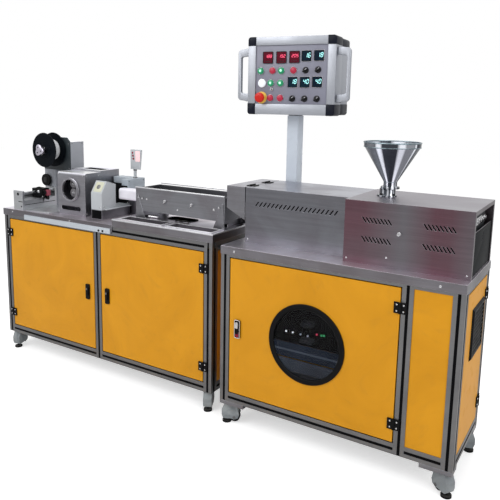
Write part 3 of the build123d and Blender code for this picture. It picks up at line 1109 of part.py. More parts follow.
# Puller: a folded front housing with its round port, and the open box behind it
PULLER_LEFT = FLAT_END - PULLER_OFFSET
PULLER_RIGHT = PULLER_LEFT + PULLER_LENGTH
PULLER_Y = FRONT + PULLER_FRONT
PULLER_BACK = PULLER_Y + PULLER_DEPTH
PULLER_TOP = FLAT_TABLE_TOP + PULLER_HEIGHT
PORT_X = PULLER_LEFT + PULLER_PORT_X
SLOT_MIDDLE = (PULLER_LEFT + PULLER_SLOT_START + PULLER_SLOT_LENGTH / 2,
               FLAT_TABLE_TOP + PULLER_SLOT_LIFT + PULLER_SLOT_HEIGHT / 2)
with BuildPart() as puller_housing:
    with BuildSketch(Plane(origin=(PULLER_LEFT, PULLER_Y, FLAT_TABLE_TOP), x_dir=(0, 1, 0), z_dir=(1, 0, 0))) as side:
        with Locations((PULLER_DEPTH / 2, PULLER_HEIGHT / 2)):
            Rectangle(PULLER_DEPTH, PULLER_HEIGHT)
        fillet(side.vertices().group_by(Axis.Y)[-1].sort_by(Axis.X)[0], PULLER_ROLL)
    extrude(amount=PULLER_LENGTH)
    with BuildSketch(Plane(origin=(PULLER_LEFT + PULLER_WALL, PULLER_Y, FLAT_TABLE_TOP), x_dir=(0, 1, 0),
                           z_dir=(1, 0, 0))) as hollow:
        with Locations((PULLER_DEPTH / 2, (PULLER_HEIGHT - PULLER_WALL) / 2)):
            Rectangle(PULLER_DEPTH - 2 * PULLER_WALL, PULLER_HEIGHT - PULLER_WALL)
        fillet(hollow.vertices().group_by(Axis.Y)[-1].sort_by(Axis.X)[0], PULLER_ROLL - PULLER_WALL)
    extrude(amount=PULLER_LENGTH - 2 * PULLER_WALL, mode=Mode.SUBTRACT)
    port = Plane(origin=(PORT_X, PULLER_Y, PULLER_PORT_Z), x_dir=(1, 0, 0), z_dir=(0, -1, 0))
    with BuildSketch(port):
        Circle(PULLER_PORT_RADIUS + PORT_RING_WIDTH)
    extrude(amount=PORT_RING_PROUD, taper=40)
    rod(port.offset(PORT_RING_PROUD).origin, (0, 1, 0), PULLER_PORT_RADIUS, PORT_RING_PROUD + PULLER_WALL,
        Mode.SUBTRACT)
    with BuildSketch(Plane(origin=(SLOT_MIDDLE[0], PULLER_Y, SLOT_MIDDLE[1]), x_dir=(1, 0, 0), z_dir=(0, -1, 0))):
        SlotOverall(PULLER_SLOT_LENGTH, PULLER_SLOT_HEIGHT)
    extrude(amount=-PULLER_WALL, mode=Mode.SUBTRACT)
save(puller_housing, "puller_housing")

REAR_TOP = PULLER_TOP + PULLER_REAR_RISE
REAR_BACK = PULLER_BACK + PULLER_REAR_DEPTH
REAR_OPENING = (PULLER_LEFT + REAR_OPENING_START, PULLER_LEFT + REAR_OPENING_START + REAR_OPENING_LENGTH,
                PULLER_BACK + REAR_OPENING_SETBACK, PULLER_BACK + REAR_OPENING_SETBACK + REAR_OPENING_DEPTH)
with BuildPart() as puller_rear_box:
    block(PULLER_LEFT, PULLER_RIGHT, PULLER_BACK, REAR_BACK, FLAT_TABLE_TOP, REAR_TOP)
    block(PULLER_LEFT + PULLER_WALL, PULLER_RIGHT - PULLER_WALL, PULLER_BACK + PULLER_WALL, REAR_BACK - PULLER_WALL,
          FLAT_TABLE_TOP, REAR_TOP - PULLER_WALL, mode=Mode.SUBTRACT)
    block(*REAR_OPENING, REAR_TOP - PULLER_WALL, REAR_TOP, mode=Mode.SUBTRACT)
save(puller_rear_box, "puller_rear_box")

# Winder with spool, guide pulley and traverse
SPOOL_X = DOWN_X + WINDER_X
WIND_Y = FRONT + WINDER_FRONT
HEAD_RIGHT = SPOOL_X + WINDER_HEAD_END
COLUMN_X = SPOOL_X - COLUMN_LEFT
with BuildPart() as winder_housing:
    block(COLUMN_X, COLUMN_X + COLUMN_WIDTH, WIND_Y, WIND_Y + COLUMN_DEPTH, FLAT_TABLE_TOP, WINDER_BOTTOM)
    with BuildSketch(Plane(origin=(0, WIND_Y, 0), x_dir=(1, 0, 0), z_dir=(0, -1, 0))):
        with BuildLine():
            Polyline((COLUMN_X, WINDER_BOTTOM), (COLUMN_X, WINDER_TOP), (HEAD_RIGHT - WINDER_CHAMFER, WINDER_TOP),
                     (HEAD_RIGHT, WINDER_TOP - WINDER_CHAMFER), (HEAD_RIGHT, WINDER_BOTTOM), close=True)
        make_face()
    extrude(amount=-WINDER_DEPTH)
save(winder_housing, "winder_housing")

SPOOL_Y = FRONT + SPOOL_FRONT
with BuildPart() as spool:
    for start, width, radius in ((SPOOL_Y, SPOOL_FLANGE, SPOOL_RADIUS),
                                 (SPOOL_Y + SPOOL_FLANGE, SPOOL_WIDTH - 2 * SPOOL_FLANGE, SPOOL_CORE_RADIUS),
                                 (SPOOL_Y + SPOOL_WIDTH - SPOOL_FLANGE, SPOOL_FLANGE, SPOOL_RADIUS)):
        rod((SPOOL_X, start, SPOOL_Z), (0, 1, 0), radius, width)
    rod((SPOOL_X, SPOOL_Y, SPOOL_Z), (0, 1, 0), SPOOL_SHAFT_RADIUS + RUNNING_FIT, SPOOL_WIDTH, Mode.SUBTRACT)
save(spool, "spool")

with BuildPart() as wound_filament:
    with BuildSketch(Plane(origin=(SPOOL_X, SPOOL_Y + SPOOL_FLANGE, SPOOL_Z), z_dir=(0, 1, 0))):
        Circle(SPOOL_WOUND_RADIUS)
        Circle(SPOOL_CORE_RADIUS, mode=Mode.SUBTRACT)
    extrude(amount=SPOOL_WIDTH - 2 * SPOOL_FLANGE)
save(wound_filament, "wound_filament")

with BuildPart() as spool_spindle:
    rod((SPOOL_X, SPOOL_Y - SPINDLE_PROUD, SPOOL_Z), (0, 1, 0), SPOOL_SHAFT_RADIUS,
        WIND_Y - SPOOL_Y + SPINDLE_PROUD - BEARING_PLAY)
    with BuildSketch(Plane(origin=(SPOOL_X, SPOOL_Y, SPOOL_Z), z_dir=(0, -1, 0))):
        Circle(HUB_RADIUS)
        with PolarLocations(LOBE_OFFSET, 3):
            Circle(LOBE_RADIUS)
    extrude(amount=HUB_THICKNESS)
save(spool_spindle, "spool_spindle")

GUIDE_X = SPOOL_X - GUIDE_OFFSET
with BuildPart() as guide_pulley:
    with BuildSketch(Plane(origin=(GUIDE_X, WIND_Y, GUIDE_Z), x_dir=(0, -1, 0), z_dir=(1, 0, 0))):
        with BuildLine():
            Polyline((BEARING_PLAY, 0), (BEARING_PLAY, GUIDE_SHAFT_RADIUS), (GUIDE_STANDOFF, GUIDE_SHAFT_RADIUS),
                     (GUIDE_STANDOFF, GUIDE_RADIUS), (GUIDE_STANDOFF + GUIDE_WIDTH / 2, GUIDE_RADIUS - GUIDE_GROOVE),
                     (GUIDE_STANDOFF + GUIDE_WIDTH, GUIDE_RADIUS), (GUIDE_STANDOFF + GUIDE_WIDTH, 0), close=True)
        make_face()
    revolve(axis=Axis((GUIDE_X, WIND_Y, GUIDE_Z), (0, 1, 0)))
save(guide_pulley, "guide_pulley")

TRAV_X = DOWN_X + TRAVERSE_X
TRAV_RIGHT = TRAV_X + TRAVERSE_WIDTH
TRAV_MIDDLE = TRAV_X + TRAVERSE_WIDTH / 2
TRAV_Y = DOWN_FRONT + TRAVERSE_SETBACK
TRAV_BACK = TRAV_Y + TRAVERSE_LENGTH
ROD_Z = FLAT_TABLE_TOP + TRAVERSE_ROD_LIFT
with BuildPart() as traverse_rail:
    for start in (TRAV_Y, TRAV_BACK):
        block(TRAV_X, TRAV_RIGHT, start, start + TRAVERSE_END_THICKNESS, FLAT_TABLE_TOP,
              FLAT_TABLE_TOP + TRAVERSE_END_HEIGHT)
    block(TRAV_X, TRAV_RIGHT, TRAV_Y + TRAVERSE_END_THICKNESS, TRAV_BACK, FLAT_TABLE_TOP,
          FLAT_TABLE_TOP + TRAVERSE_HEIGHT)
    rod((TRAV_MIDDLE, TRAV_Y + TRAVERSE_END_THICKNESS, ROD_Z), (0, 1, 0), TRAVERSE_ROD_RADIUS,
        TRAVERSE_LENGTH - TRAVERSE_END_THICKNESS)
save(traverse_rail, "traverse_rail")

# The carriage overhangs the rail on its right and carries a guide wheel in front
CARRIAGE_Y = TRAV_Y + CARRIAGE_START
CARRIAGE_RIGHT = TRAV_RIGHT + CARRIAGE_OVERHANG
CARRIAGE_WHEEL = (CARRIAGE_RIGHT - CARRIAGE_WHEEL_INSET, CARRIAGE_Y - CARRIAGE_WHEEL_GAP, ROD_Z + CARRIAGE_WHEEL_LIFT)
with BuildPart() as traverse_carriage:
    block(TRAV_X + CARRIAGE_INSET, CARRIAGE_RIGHT, CARRIAGE_Y, CARRIAGE_Y + CARRIAGE_LENGTH,
          FLAT_TABLE_TOP + TRAVERSE_HEIGHT + BEARING_PLAY, ROD_Z + CARRIAGE_RISE)
    rod((TRAV_MIDDLE, CARRIAGE_Y, ROD_Z), (0, 1, 0), TRAVERSE_ROD_RADIUS + RUNNING_FIT, CARRIAGE_LENGTH, Mode.SUBTRACT)
    rod(CARRIAGE_WHEEL, (0, -1, 0), CARRIAGE_WHEEL_RADIUS, CARRIAGE_WHEEL_WIDTH)
    rod(CARRIAGE_WHEEL, (0, 1, 0), CARRIAGE_AXLE_RADIUS, 2 * CARRIAGE_WHEEL_GAP)
save(traverse_carriage, "traverse_carriage")

# Bracket that ties the two cabinets together
with BuildPart() as cabinet_link:
    block(DOWN_END, EXT_X, DOWN_FRONT + BAR, DOWN_FRONT + BAR + LINK_WIDTH, LINK_Z, LINK_Z + LINK_THICKNESS)
save(cabinet_link, "cabinet_link")
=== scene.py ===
"""Looks of a small filament extruder line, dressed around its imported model.

All sizes are in metres. X runs along the line towards the drive end, Y to the back and Z up. Places measured on the
photograph are in millimetres from the extruder cabinet's front left corner on the floor, and at() turns them into
points of the frame.
"""

import json
import logging
import math
from dataclasses import dataclass
from enum import Enum
from functools import cache
from typing import Iterable, Sequence

import bmesh
import bpy
from mathutils import Matrix, Vector


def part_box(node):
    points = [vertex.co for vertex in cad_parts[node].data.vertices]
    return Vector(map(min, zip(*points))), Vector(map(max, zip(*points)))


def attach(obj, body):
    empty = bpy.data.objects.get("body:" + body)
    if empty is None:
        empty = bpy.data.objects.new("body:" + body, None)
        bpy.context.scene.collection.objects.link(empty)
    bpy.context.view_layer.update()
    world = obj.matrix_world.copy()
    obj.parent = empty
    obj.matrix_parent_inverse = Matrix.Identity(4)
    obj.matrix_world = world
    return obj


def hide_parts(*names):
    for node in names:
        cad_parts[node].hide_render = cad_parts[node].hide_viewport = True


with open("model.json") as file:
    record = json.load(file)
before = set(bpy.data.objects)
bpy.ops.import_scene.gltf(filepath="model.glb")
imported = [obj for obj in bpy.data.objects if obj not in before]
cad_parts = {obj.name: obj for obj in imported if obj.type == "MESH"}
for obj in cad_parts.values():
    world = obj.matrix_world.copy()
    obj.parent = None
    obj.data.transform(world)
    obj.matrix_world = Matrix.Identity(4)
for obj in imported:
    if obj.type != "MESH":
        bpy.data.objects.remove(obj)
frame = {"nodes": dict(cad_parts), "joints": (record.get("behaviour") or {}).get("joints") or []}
CORNER = Vector((*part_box("extruder_posts")[0][:2], 0.0))
log = logging.getLogger("extruder_line")

Point = Sequence[float]
Flat = tuple[float, float]
Colour = tuple[float, float, float]
Socket = bpy.types.NodeSocket
Outputs = dict[str, Socket]
Inputs = dict[str | int, object]

FRONTWARD = (0.0, -1.0, 0.0)
BACKWARD = (0.0, 1.0, 0.0)
RIGHTWARD = (1.0, 0.0, 0.0)
LEFTWARD = (-1.0, 0.0, 0.0)
UPWARD = (0.0, 0.0, 1.0)


def srgb(code: int) -> Colour:
    """Linear colour of a screen colour written as 0xRRGGBB."""
    parts = [(code >> shift & 255) / 255 for shift in (16, 8, 0)]
    return tuple(part / 12.92 if part <= 10 / 255 else ((part + 0.055) / 1.055) ** 2.4 for part in parts)


def scaled(colour: Colour, share: float, extra: float = 0.0) -> Colour:
    """A colour made lighter or darker, at most white."""
    return tuple(min(1.0, part * share + extra) for part in colour)


class Graph:
    """A node tree with short calls that add and join nodes."""

    def __init__(self, tree: bpy.types.NodeTree) -> None:
        """Keep the tree that nodes are added to."""
        self.tree = tree

    def put(self, value: object, target: Socket) -> None:
        """Join an output to an input, or set the input itself to a value.

        Args:
            value: an output's socket or a plain value.
            target: the input that takes it.
        """
        if isinstance(value, bpy.types.NodeSocket):
            self.tree.links.new(value, target)
        else:
            target.default_value = (*value, 1.0) if target.type == "RGBA" else value

    def add(self, kind: str, inputs: Inputs | None = None, **settings: object) -> bpy.types.Node:
        """Add a node.

        Args:
            kind: the node's type name after ShaderNode.
            inputs: values or sockets for its inputs, by name or number.
            settings: attributes of the node.

        Returns:
            The new node.
        """
        node = self.tree.nodes.new(kind if kind.startswith("NodeGroup") else "ShaderNode" + kind)
        for name, value in settings.items():
            setattr(node, name, value)
        for name, value in (inputs or {}).items():
            self.put(value, node.inputs[name])
        return node

    def effect(self, effect: "Effect", **inputs: float) -> bpy.types.NodeOutputs:
        """Outputs of a shared effect's group, placed here with these values."""
        return self.add("Group", inputs, node_tree=group_of(effect)).outputs

    def math(self, operation: str, first: object, second: object = 0.0, clamp: bool = False) -> Socket:
        """Result of a Math node on two values or sockets."""
        return self.add("Math", {0: first, 1: second}, operation=operation, use_clamp=clamp).outputs[0]

    def product(self, first: object, *others: object) -> object:
        """All the values or sockets multiplied.

        Args:
            first: the first value or socket.
            others: the ones that it is multiplied by.

        Returns:
            the last product, or the value where there is one alone.
        """
        for other in others:
            first = self.math("MULTIPLY", first, other)
        return first

    def vector(self, operation: str, first: object, second: object = (0.0, 0.0, 0.0)) -> Socket:
        """Result of a Vector Math node, a number for a dot product."""
        node = self.add("VectorMath", {0: first, 1: second}, operation=operation)
        return node.outputs["Value" if operation == "DOT_PRODUCT" else "Vector"]

    def ramp(self, value: object, low: float, high: float, to_low: float = 0.0, to_high: float = 1.0) -> Socket:
        """Map low..high of a value onto to_low..to_high, held at the ends."""
        return self.add("MapRange", {0: value, 1: low, 2: high, 3: to_low, 4: to_high}, clamp=True).outputs[0]

    def blend(self, mask: object, under: object, over: object, mode: str = "MIX") -> Socket:
        """Colour of a Mix node."""
        return self.add("Mix", {0: mask, 6: under, 7: over}, data_type="RGBA", blend_type=mode).outputs[2]

    def place(self, kind: str = "Object") -> Socket:
        """Coordinates in the piece's own space, or of another kind."""
        return self.add("TexCoord").outputs[kind]

    def axis(self, vector: Socket, axis: str) -> Socket:
        """One part of a vector."""
        return self.add("SeparateXYZ", {0: vector}).outputs[axis]

    def upward(self) -> Socket:
        """How far a face looks up."""
        return self.axis(self.add("NewGeometry").outputs["Normal"], "Z")

    def noise(self, scale: object, detail: float = 3.0, stretch: Point = (1.0, 1.0, 1.0),
              tilt: Point = (0.0, 0.0, 0.0)) -> Socket:
        """Value of a noise laid through the piece's own space, stretched and tilted."""
        moved = self.add("Mapping", {"Vector": self.place(), "Rotation": tilt, "Scale": stretch}).outputs[0]
        return self.add("TexNoise", {"Vector": moved, "Scale": scale, "Detail": detail}).outputs[0]


def brushed(graph: Graph, inputs: Outputs) -> Outputs:
    """Grinding lines that run along X on fronts and tops.

    Args:
        graph: the node tree that is drawn into.
        inputs: the group's inputs by name.

    Returns:
        the outputs by name.
    """
    fine, coarse = (graph.product(graph.noise(graph.product(inputs["Scale"], scale), 2.0, (0.02, 1.0, 1.0)), 0.5)
                    for scale in (330.0, 90.0))
    return {"Lines": graph.math("ADD", fine, coarse)}


def smudges_and_reflections(graph: Graph, inputs: Outputs) -> Outputs:
    """Soft patches of handling and uneven sheet; on bare metal they also stand as painted reflections.

    Args:
        graph: the node tree that is drawn into.
        inputs: the group's inputs by name.

    Returns:
        the outputs by name.
    """
    place = graph.place()
    warp = graph.add("TexNoise", {"Vector": place, "Scale": 2.2, "Detail": 1.0}).outputs[1]
    moved = graph.vector("ADD", place, warp)
    noise = graph.add("TexNoise", {"Vector": moved, "Scale": inputs["Scale"], "Detail": 4.0}).outputs[0]
    return {"Mask": graph.ramp(noise, inputs["Low"], inputs["High"])}


def wear_and_highlight_edges(graph: Graph, inputs: Outputs) -> Outputs:
    """Mask of a piece's outer edges, broken up a little, and a normal that rounds them; finishes lighten their colour
    under the mask as wear and as painted highlight.

    Args:
        graph: the node tree that is drawn into.
        inputs: the group's inputs by name.

    Returns:
        the outputs by name.
    """
    bevel = graph.add("Bevel", {"Radius": inputs["Radius"]}, samples=4).outputs[0]
    facing_share = graph.vector("DOT_PRODUCT", bevel, graph.add("NewGeometry").outputs["Normal"])
    broken = graph.ramp(graph.noise(70.0, 4.0), 0.35, 0.6)
    return {"Mask": graph.product(graph.ramp(facing_share, 0.99, 0.86), broken, inputs["Amount"]), "Normal": bevel}


def grained(graph: Graph, inputs: Outputs) -> Outputs:
    """Fine even texture of moulded plastic and powder coat."""
    return {"Height": graph.noise(inputs["Scale"], 2.0)}


def dusted(graph: Graph, inputs: Outputs) -> Outputs:
    """Mask of dust that lies on faces that look up."""
    patch = graph.ramp(graph.noise(11.0, 5.0), 0.35, 0.7)
    return {"Mask": graph.product(graph.ramp(graph.upward(), 0.5, 1.0), patch, inputs["Amount"])}


def scratched(graph: Graph, inputs: Outputs) -> Outputs:
    """Mask of sparse hairline scratches that run every way.

    Args:
        graph: the node tree that is drawn into.
        inputs: the group's inputs by name.

    Returns:
        the outputs by name.
    """
    total: object = 0.0
    for tilt, stretch in (((0.5, 0.3, 0.2), (0.06, 1.0, 1.0)), ((-0.4, 0.9, 1.3), (1.0, 0.07, 1.0))):
        noise = graph.noise(graph.product(inputs["Scale"], 6.0), 3.0, stretch, tilt)
        line = graph.ramp(graph.math("ABSOLUTE", graph.math("SUBTRACT", noise, 0.5)), 0.006, 0.0)
        total = graph.math("MAXIMUM", line, total)
    return {"Mask": graph.product(total, graph.ramp(graph.noise(5.0, 2.0), 0.5, 0.65), inputs["Amount"])}


def streaked(graph: Graph, inputs: Outputs) -> Outputs:
    """Mask of soft streaks that run down a face, as wiping leaves them."""
    noise = graph.noise(inputs["Scale"], 3.0, (1.0, 1.0, 0.09))
    return {"Mask": graph.product(graph.ramp(noise, 0.48, 0.7), inputs["Amount"])}


class Effect(Enum):
    """Surface effects that materials share: a node group's name, what draws it and its inputs' usual values."""

    BRUSH = ("brushed_sheet", brushed, {"Scale": 1.0})
    SMUDGE = ("handling_smudges", smudges_and_reflections, {"Scale": 6.0, "Low": 0.42, "High": 0.62})
    EDGE = ("worn_edges", wear_and_highlight_edges, {"Radius": 0.0015, "Amount": 1.0})
    GRAIN = ("fine_grain", grained, {"Scale": 900.0})
    DUST = ("settled_dust", dusted, {"Amount": 0.3})
    SCRATCH = ("hairline_scratches", scratched, {"Scale": 14.0, "Amount": 0.4})
    RUN = ("streaks_down_a_face", streaked, {"Scale": 24.0, "Amount": 0.5})


@cache
def group_of(effect: Effect) -> bpy.types.NodeTree:
    """The node group of an effect, drawn on its first use.

    Args:
        effect: the effect.

    Returns:
        the group, which every finish shares.
    """
    name, draw, inputs = effect.value
    tree = bpy.data.node_groups.new(name, "ShaderNodeTree")
    for key, value in inputs.items():
        tree.interface.new_socket(key, in_out="INPUT", socket_type="NodeSocketFloat").default_value = value
    graph = Graph(tree)
    results = draw(graph, {socket.name: socket for socket in graph.add("NodeGroupInput").outputs})
    for key, socket in results.items():
        kind = "NodeSocketVector" if socket.type == "VECTOR" else "NodeSocketFloat"
        tree.interface.new_socket(key, in_out="OUTPUT", socket_type=kind)
    graph.add("NodeGroupOutput", results)
    return tree


@dataclass(frozen=True)
class Finish:
    """A surface finish.

    Attributes:
        name: the material's name.
        colour: its main colour, linear.
        roughness: its gloss, 0 for a mirror.
        second: the colour of its patches, which on bare metal are partly handling marks and partly painted reflections.
    """

    name: str
    colour: Colour
    roughness: float = 0.5
    second: Colour | None = None

    def patched(self, graph: Graph, mask: Socket, share: float) -> Socket:
        """The main colour with patches of the second, or of a share of the main colour."""
        return graph.blend(mask, self.colour, self.second or scaled(self.colour, share))

    def rough(self, graph: Graph, mask: Socket, extra: float) -> Socket:
        """The roughness, a little more under a mask."""
        return graph.ramp(mask, 0.0, 1.0, self.roughness, self.roughness + extra)

    def edged(self, graph: Graph, edges: Outputs, colour: Socket, amount: float, lift: float) -> Socket:
        """Lighten a colour along the edges: partly wear, partly painted highlight where edges catch the light."""
        return graph.blend(graph.product(edges["Mask"], amount), colour, scaled(self.colour, 1.0 + lift, 0.2 * lift))

    def bumped(self, graph: Graph, height: Socket, edges: Outputs, strength: float) -> Socket:
        """A normal with a height on the rounded edges."""
        return graph.add("Bump", {"Height": height, "Strength": strength, "Distance": 0.0004,
                                  "Normal": edges["Normal"]}).outputs[0]

    def wire(self, graph: Graph) -> Inputs:
        """Draw the finish and give its shader's inputs."""
        raise NotImplementedError


@dataclass(frozen=True)
class Paint(Finish):
    """Powder coat or enamel with a fine peel, faint grime and edges that catch the light."""

    grain: float = 700.0
    bump: float = 0.06
    specular: float = 0.3
    grime: Colour = (0.12, 0.09, 0.05)
    grime_amount: float = 0.10
    streaks: float = 0.0
    edge: float = 0.0012
    coat: float = 0.0
    glow: float = 0.0

    def wire(self, graph: Graph) -> Inputs:
        """Draw patches, grime, streaks, edge rounding and peel.

        Args:
            graph: the node tree that is drawn into.

        Returns:
            the shader's inputs by name.
        """
        colour = self.patched(graph, graph.effect(Effect.SMUDGE, Scale=3.0, Low=0.35, High=0.7)["Mask"], 0.9)
        dirt = graph.effect(Effect.SMUDGE, Scale=17.0, Low=0.55, High=0.8)["Mask"]
        edges = graph.effect(Effect.EDGE, Radius=self.edge, Amount=0.5)
        if self.streaks:
            runs = graph.effect(Effect.RUN, Amount=self.streaks)["Mask"]
            colour = graph.blend(runs, colour, scaled(self.colour, 0.8))
        colour = graph.blend(graph.product(dirt, self.grime_amount), colour, self.grime)
        # Edges lightened: partly wear, partly painted highlight.
        colour = self.edged(graph, edges, colour, 0.35, 0.3)
        peel = graph.effect(Effect.GRAIN, Scale=self.grain)["Height"]
        glow = {"Emission Color": colour, "Emission Strength": self.glow} if self.glow else {}
        return {"Base Color": colour, "Roughness": self.rough(graph, dirt, 0.14),
                "Normal": self.bumped(graph, peel, edges, self.bump), "Specular IOR Level": self.specular,
                "Coat Weight": self.coat, "Coat Roughness": 0.2, **glow}


@dataclass(frozen=True)
class Metal(Finish):
    """Bare metal, ground or drawn, with handling patches and painted reflections, hairlines, and edge wear with painted
    highlight.

    Attributes:
        top: painted light, how much lighter the colour is made on faces that look up, as light from above falls on
            them.
        reflection_bands: painted reflections, soft upright bands on fronts, each a middle and half width along X.
        reflection_streaks: x and y of a turned shape's axis, and the streaks up it, each an angle, a half width and a
            strength.
    """

    brush: float = 0.5
    stain_and_reflection: float = 0.5
    stain_and_reflection_scale: float = 4.0
    scratch: float = 0.15
    edge: float = 0.0015
    edge_light: float = 0.5
    anisotropic: float = 0.0
    top: float = 0.3
    reflection_bands: tuple[Flat, ...] = ()
    reflection_streaks: tuple[float, float, tuple[tuple[float, float, float], ...]] | None = None

    def add_reflection_bands(self, graph: Graph, mask: Socket) -> Socket:
        """Add the painted reflection bands to a mask.

        Args:
            graph: the node tree that is drawn into.
            mask: the mask so far.

        Returns:
            the mask with the painted reflection bands in it.
        """
        for middle, half in self.reflection_bands:
            off = graph.math("ABSOLUTE", graph.math("SUBTRACT", graph.axis(graph.place(), "X"), middle))
            band = graph.product(graph.ramp(off, half, half * 0.2), graph.ramp(graph.noise(5.0), 0.2, 0.7, 0.6),
                                 graph.ramp(graph.upward(), 0.3, 0.9, 1.0, 0.0))
            mask = graph.math("MAXIMUM", mask, band)
        return mask

    def reflection_streak_mask(self, graph: Graph) -> Socket:
        """Mask of the painted reflection streaks up a turned shape.

        Args:
            graph: the node tree that is drawn into.

        Returns:
            the mask.
        """
        x, y, streaks = self.reflection_streaks
        moved = graph.vector("SUBTRACT", graph.place(), (x, y, 0.0))
        ray = graph.vector("NORMALIZE", graph.vector("MULTIPLY", moved, (1.0, 1.0, 0.0)))
        light: object = 0.0
        for angle, half, strength in streaks:
            near = graph.vector("DOT_PRODUCT", ray, (*polar(1.0, math.radians(angle)), 0.0))
            lobe = graph.ramp(near, math.cos(math.radians(half)), math.cos(math.radians(half * 0.4)), 0.0, strength)
            light = graph.math("MAXIMUM", light, lobe)
        return light

    def wire(self, graph: Graph) -> Inputs:
        """Draw grinding lines, patches, hairlines and edges.

        Args:
            graph: the node tree that is drawn into.

        Returns:
            the shader's inputs by name.
        """
        lines = graph.effect(Effect.BRUSH, Scale=1.0)["Lines"]
        patches = graph.effect(Effect.SMUDGE, Scale=self.stain_and_reflection_scale, Low=0.38, High=0.66)["Mask"]
        edges = graph.effect(Effect.EDGE, Radius=self.edge, Amount=1.0)
        hairs = graph.effect(Effect.SCRATCH, Amount=self.scratch)["Mask"]
        # The second colour's patches are partly handling marks and partly painted reflections; the bands are painted
        # reflections.
        colour = self.patched(graph, self.add_reflection_bands(graph, graph.product(patches, self.stain_and_reflection)), 0.7)
        shade = graph.ramp(lines, 0.3, 0.7, 1.0 - 0.3 * self.brush, 1.0 + 0.15 * self.brush)
        grey = graph.add("CombineColor", {0: shade, 1: shade, 2: shade}).outputs[0]
        colour = graph.blend(hairs, graph.blend(1.0, colour, grey, "MULTIPLY"), scaled(self.colour, 1.6))
        more: Inputs = {}
        # Painted light: faces that look up are made lighter.
        if self.top:
            colour = graph.blend(graph.ramp(graph.upward(), 0.3, 0.9), colour, (1.0 + self.top,) * 3, "MULTIPLY")
        # Painted reflections: the colour is darkened between the streaks, and the streaks glow as painted highlight.
        if self.reflection_streaks:
            light = self.reflection_streak_mask(graph)
            colour = graph.blend(light, graph.blend(1.0, colour, (0.1, 0.11, 0.125), "MULTIPLY"), colour)
            more = {"Emission Color": graph.blend(light, (0.0, 0.0, 0.0), (0.36, 0.38, 0.42)), "Emission Strength": 1.0}
        if self.anisotropic:
            tangent = graph.add("Tangent", direction_type="RADIAL", axis="Z").outputs[0]
            more |= {"Anisotropic": self.anisotropic, "Tangent": tangent}
        # Edges lightened: partly wear, partly painted highlight.
        return {"Base Color": self.edged(graph, edges, colour, self.edge_light, 0.5), "Metallic": 1.0,
                "Roughness": self.rough(graph, patches, 0.12),
                "Normal": self.bumped(graph, lines, edges, 0.1 * self.brush), **more}


@dataclass(frozen=True)
class Plastic(Finish):
    """Moulded plastic or rubber with a fine grain, dust on top and soft edges."""

    bump: float = 0.15
    dust: float = 0.12
    edge: float = 0.001
    coat: float = 0.0
    specular: float = 0.15

    def wire(self, graph: Graph) -> Inputs:
        """Draw grain, dust and edges.

        Args:
            graph: the node tree that is drawn into.

        Returns:
            the shader's inputs by name.
        """
        patches = graph.effect(Effect.SMUDGE, Scale=14.0, Low=0.4, High=0.7)["Mask"]
        dust = graph.effect(Effect.DUST, Amount=self.dust)["Mask"]
        edges = graph.effect(Effect.EDGE, Radius=self.edge, Amount=0.6)
        colour = graph.blend(dust, self.patched(graph, patches, 0.82), (0.35, 0.34, 0.32))
        grain = graph.effect(Effect.GRAIN, Scale=1300.0)["Height"]
        # Edges lightened: partly wear, partly painted highlight.
        return {"Base Color": self.edged(graph, edges, colour, 0.5, 0.2), "Roughness": self.rough(graph, patches, 0.1),
                "Normal": self.bumped(graph, grain, edges, self.bump), "Specular IOR Level": self.specular,
                "Coat Weight": self.coat}


@dataclass(frozen=True)
class Glass(Finish):
    """Dark glass that shows what is behind it, with faint smears."""

    def wire(self, graph: Graph) -> Inputs:
        """Draw a tinted sheet.

        Args:
            graph: the node tree that is drawn into.

        Returns:
            the shader's inputs by name.
        """
        smears = graph.effect(Effect.SMUDGE, Scale=5.0, Low=0.45, High=0.8)["Mask"]
        return {"Base Color": self.patched(graph, smears, 1.15), "Roughness": self.rough(graph, smears, 0.05),
                "Transmission Weight": 1.0, "Specular IOR Level": 0.1, "IOR": 1.15}


@dataclass(frozen=True)
class Lit(Finish):
    """A lamp lens or display segment that gives light."""

    strength: float = 1.0

    def wire(self, graph: Graph) -> Inputs:
        """Draw a slightly uneven glow.

        Args:
            graph: the node tree that is drawn into.

        Returns:
            the shader's inputs by name.
        """
        colour = self.patched(graph, graph.effect(Effect.SMUDGE, Scale=160.0, Low=0.3, High=0.8)["Mask"], 0.8)
        return {"Base Color": colour, "Emission Color": colour, "Emission Strength": self.strength,
                "Roughness": self.roughness}


@cache
def material_of(finish: Finish) -> bpy.types.Material:
    """The material of a finish, made on its first use.

    Args:
        finish: the finish.

    Returns:
        its material.
    """
    material = bpy.data.materials.new(finish.name)
    material.use_nodes = True
    graph = Graph(material.node_tree)
    for name, value in finish.wire(graph).items():
        graph.put(value, material.node_tree.nodes["Principled BSDF"].inputs[name])
    return material


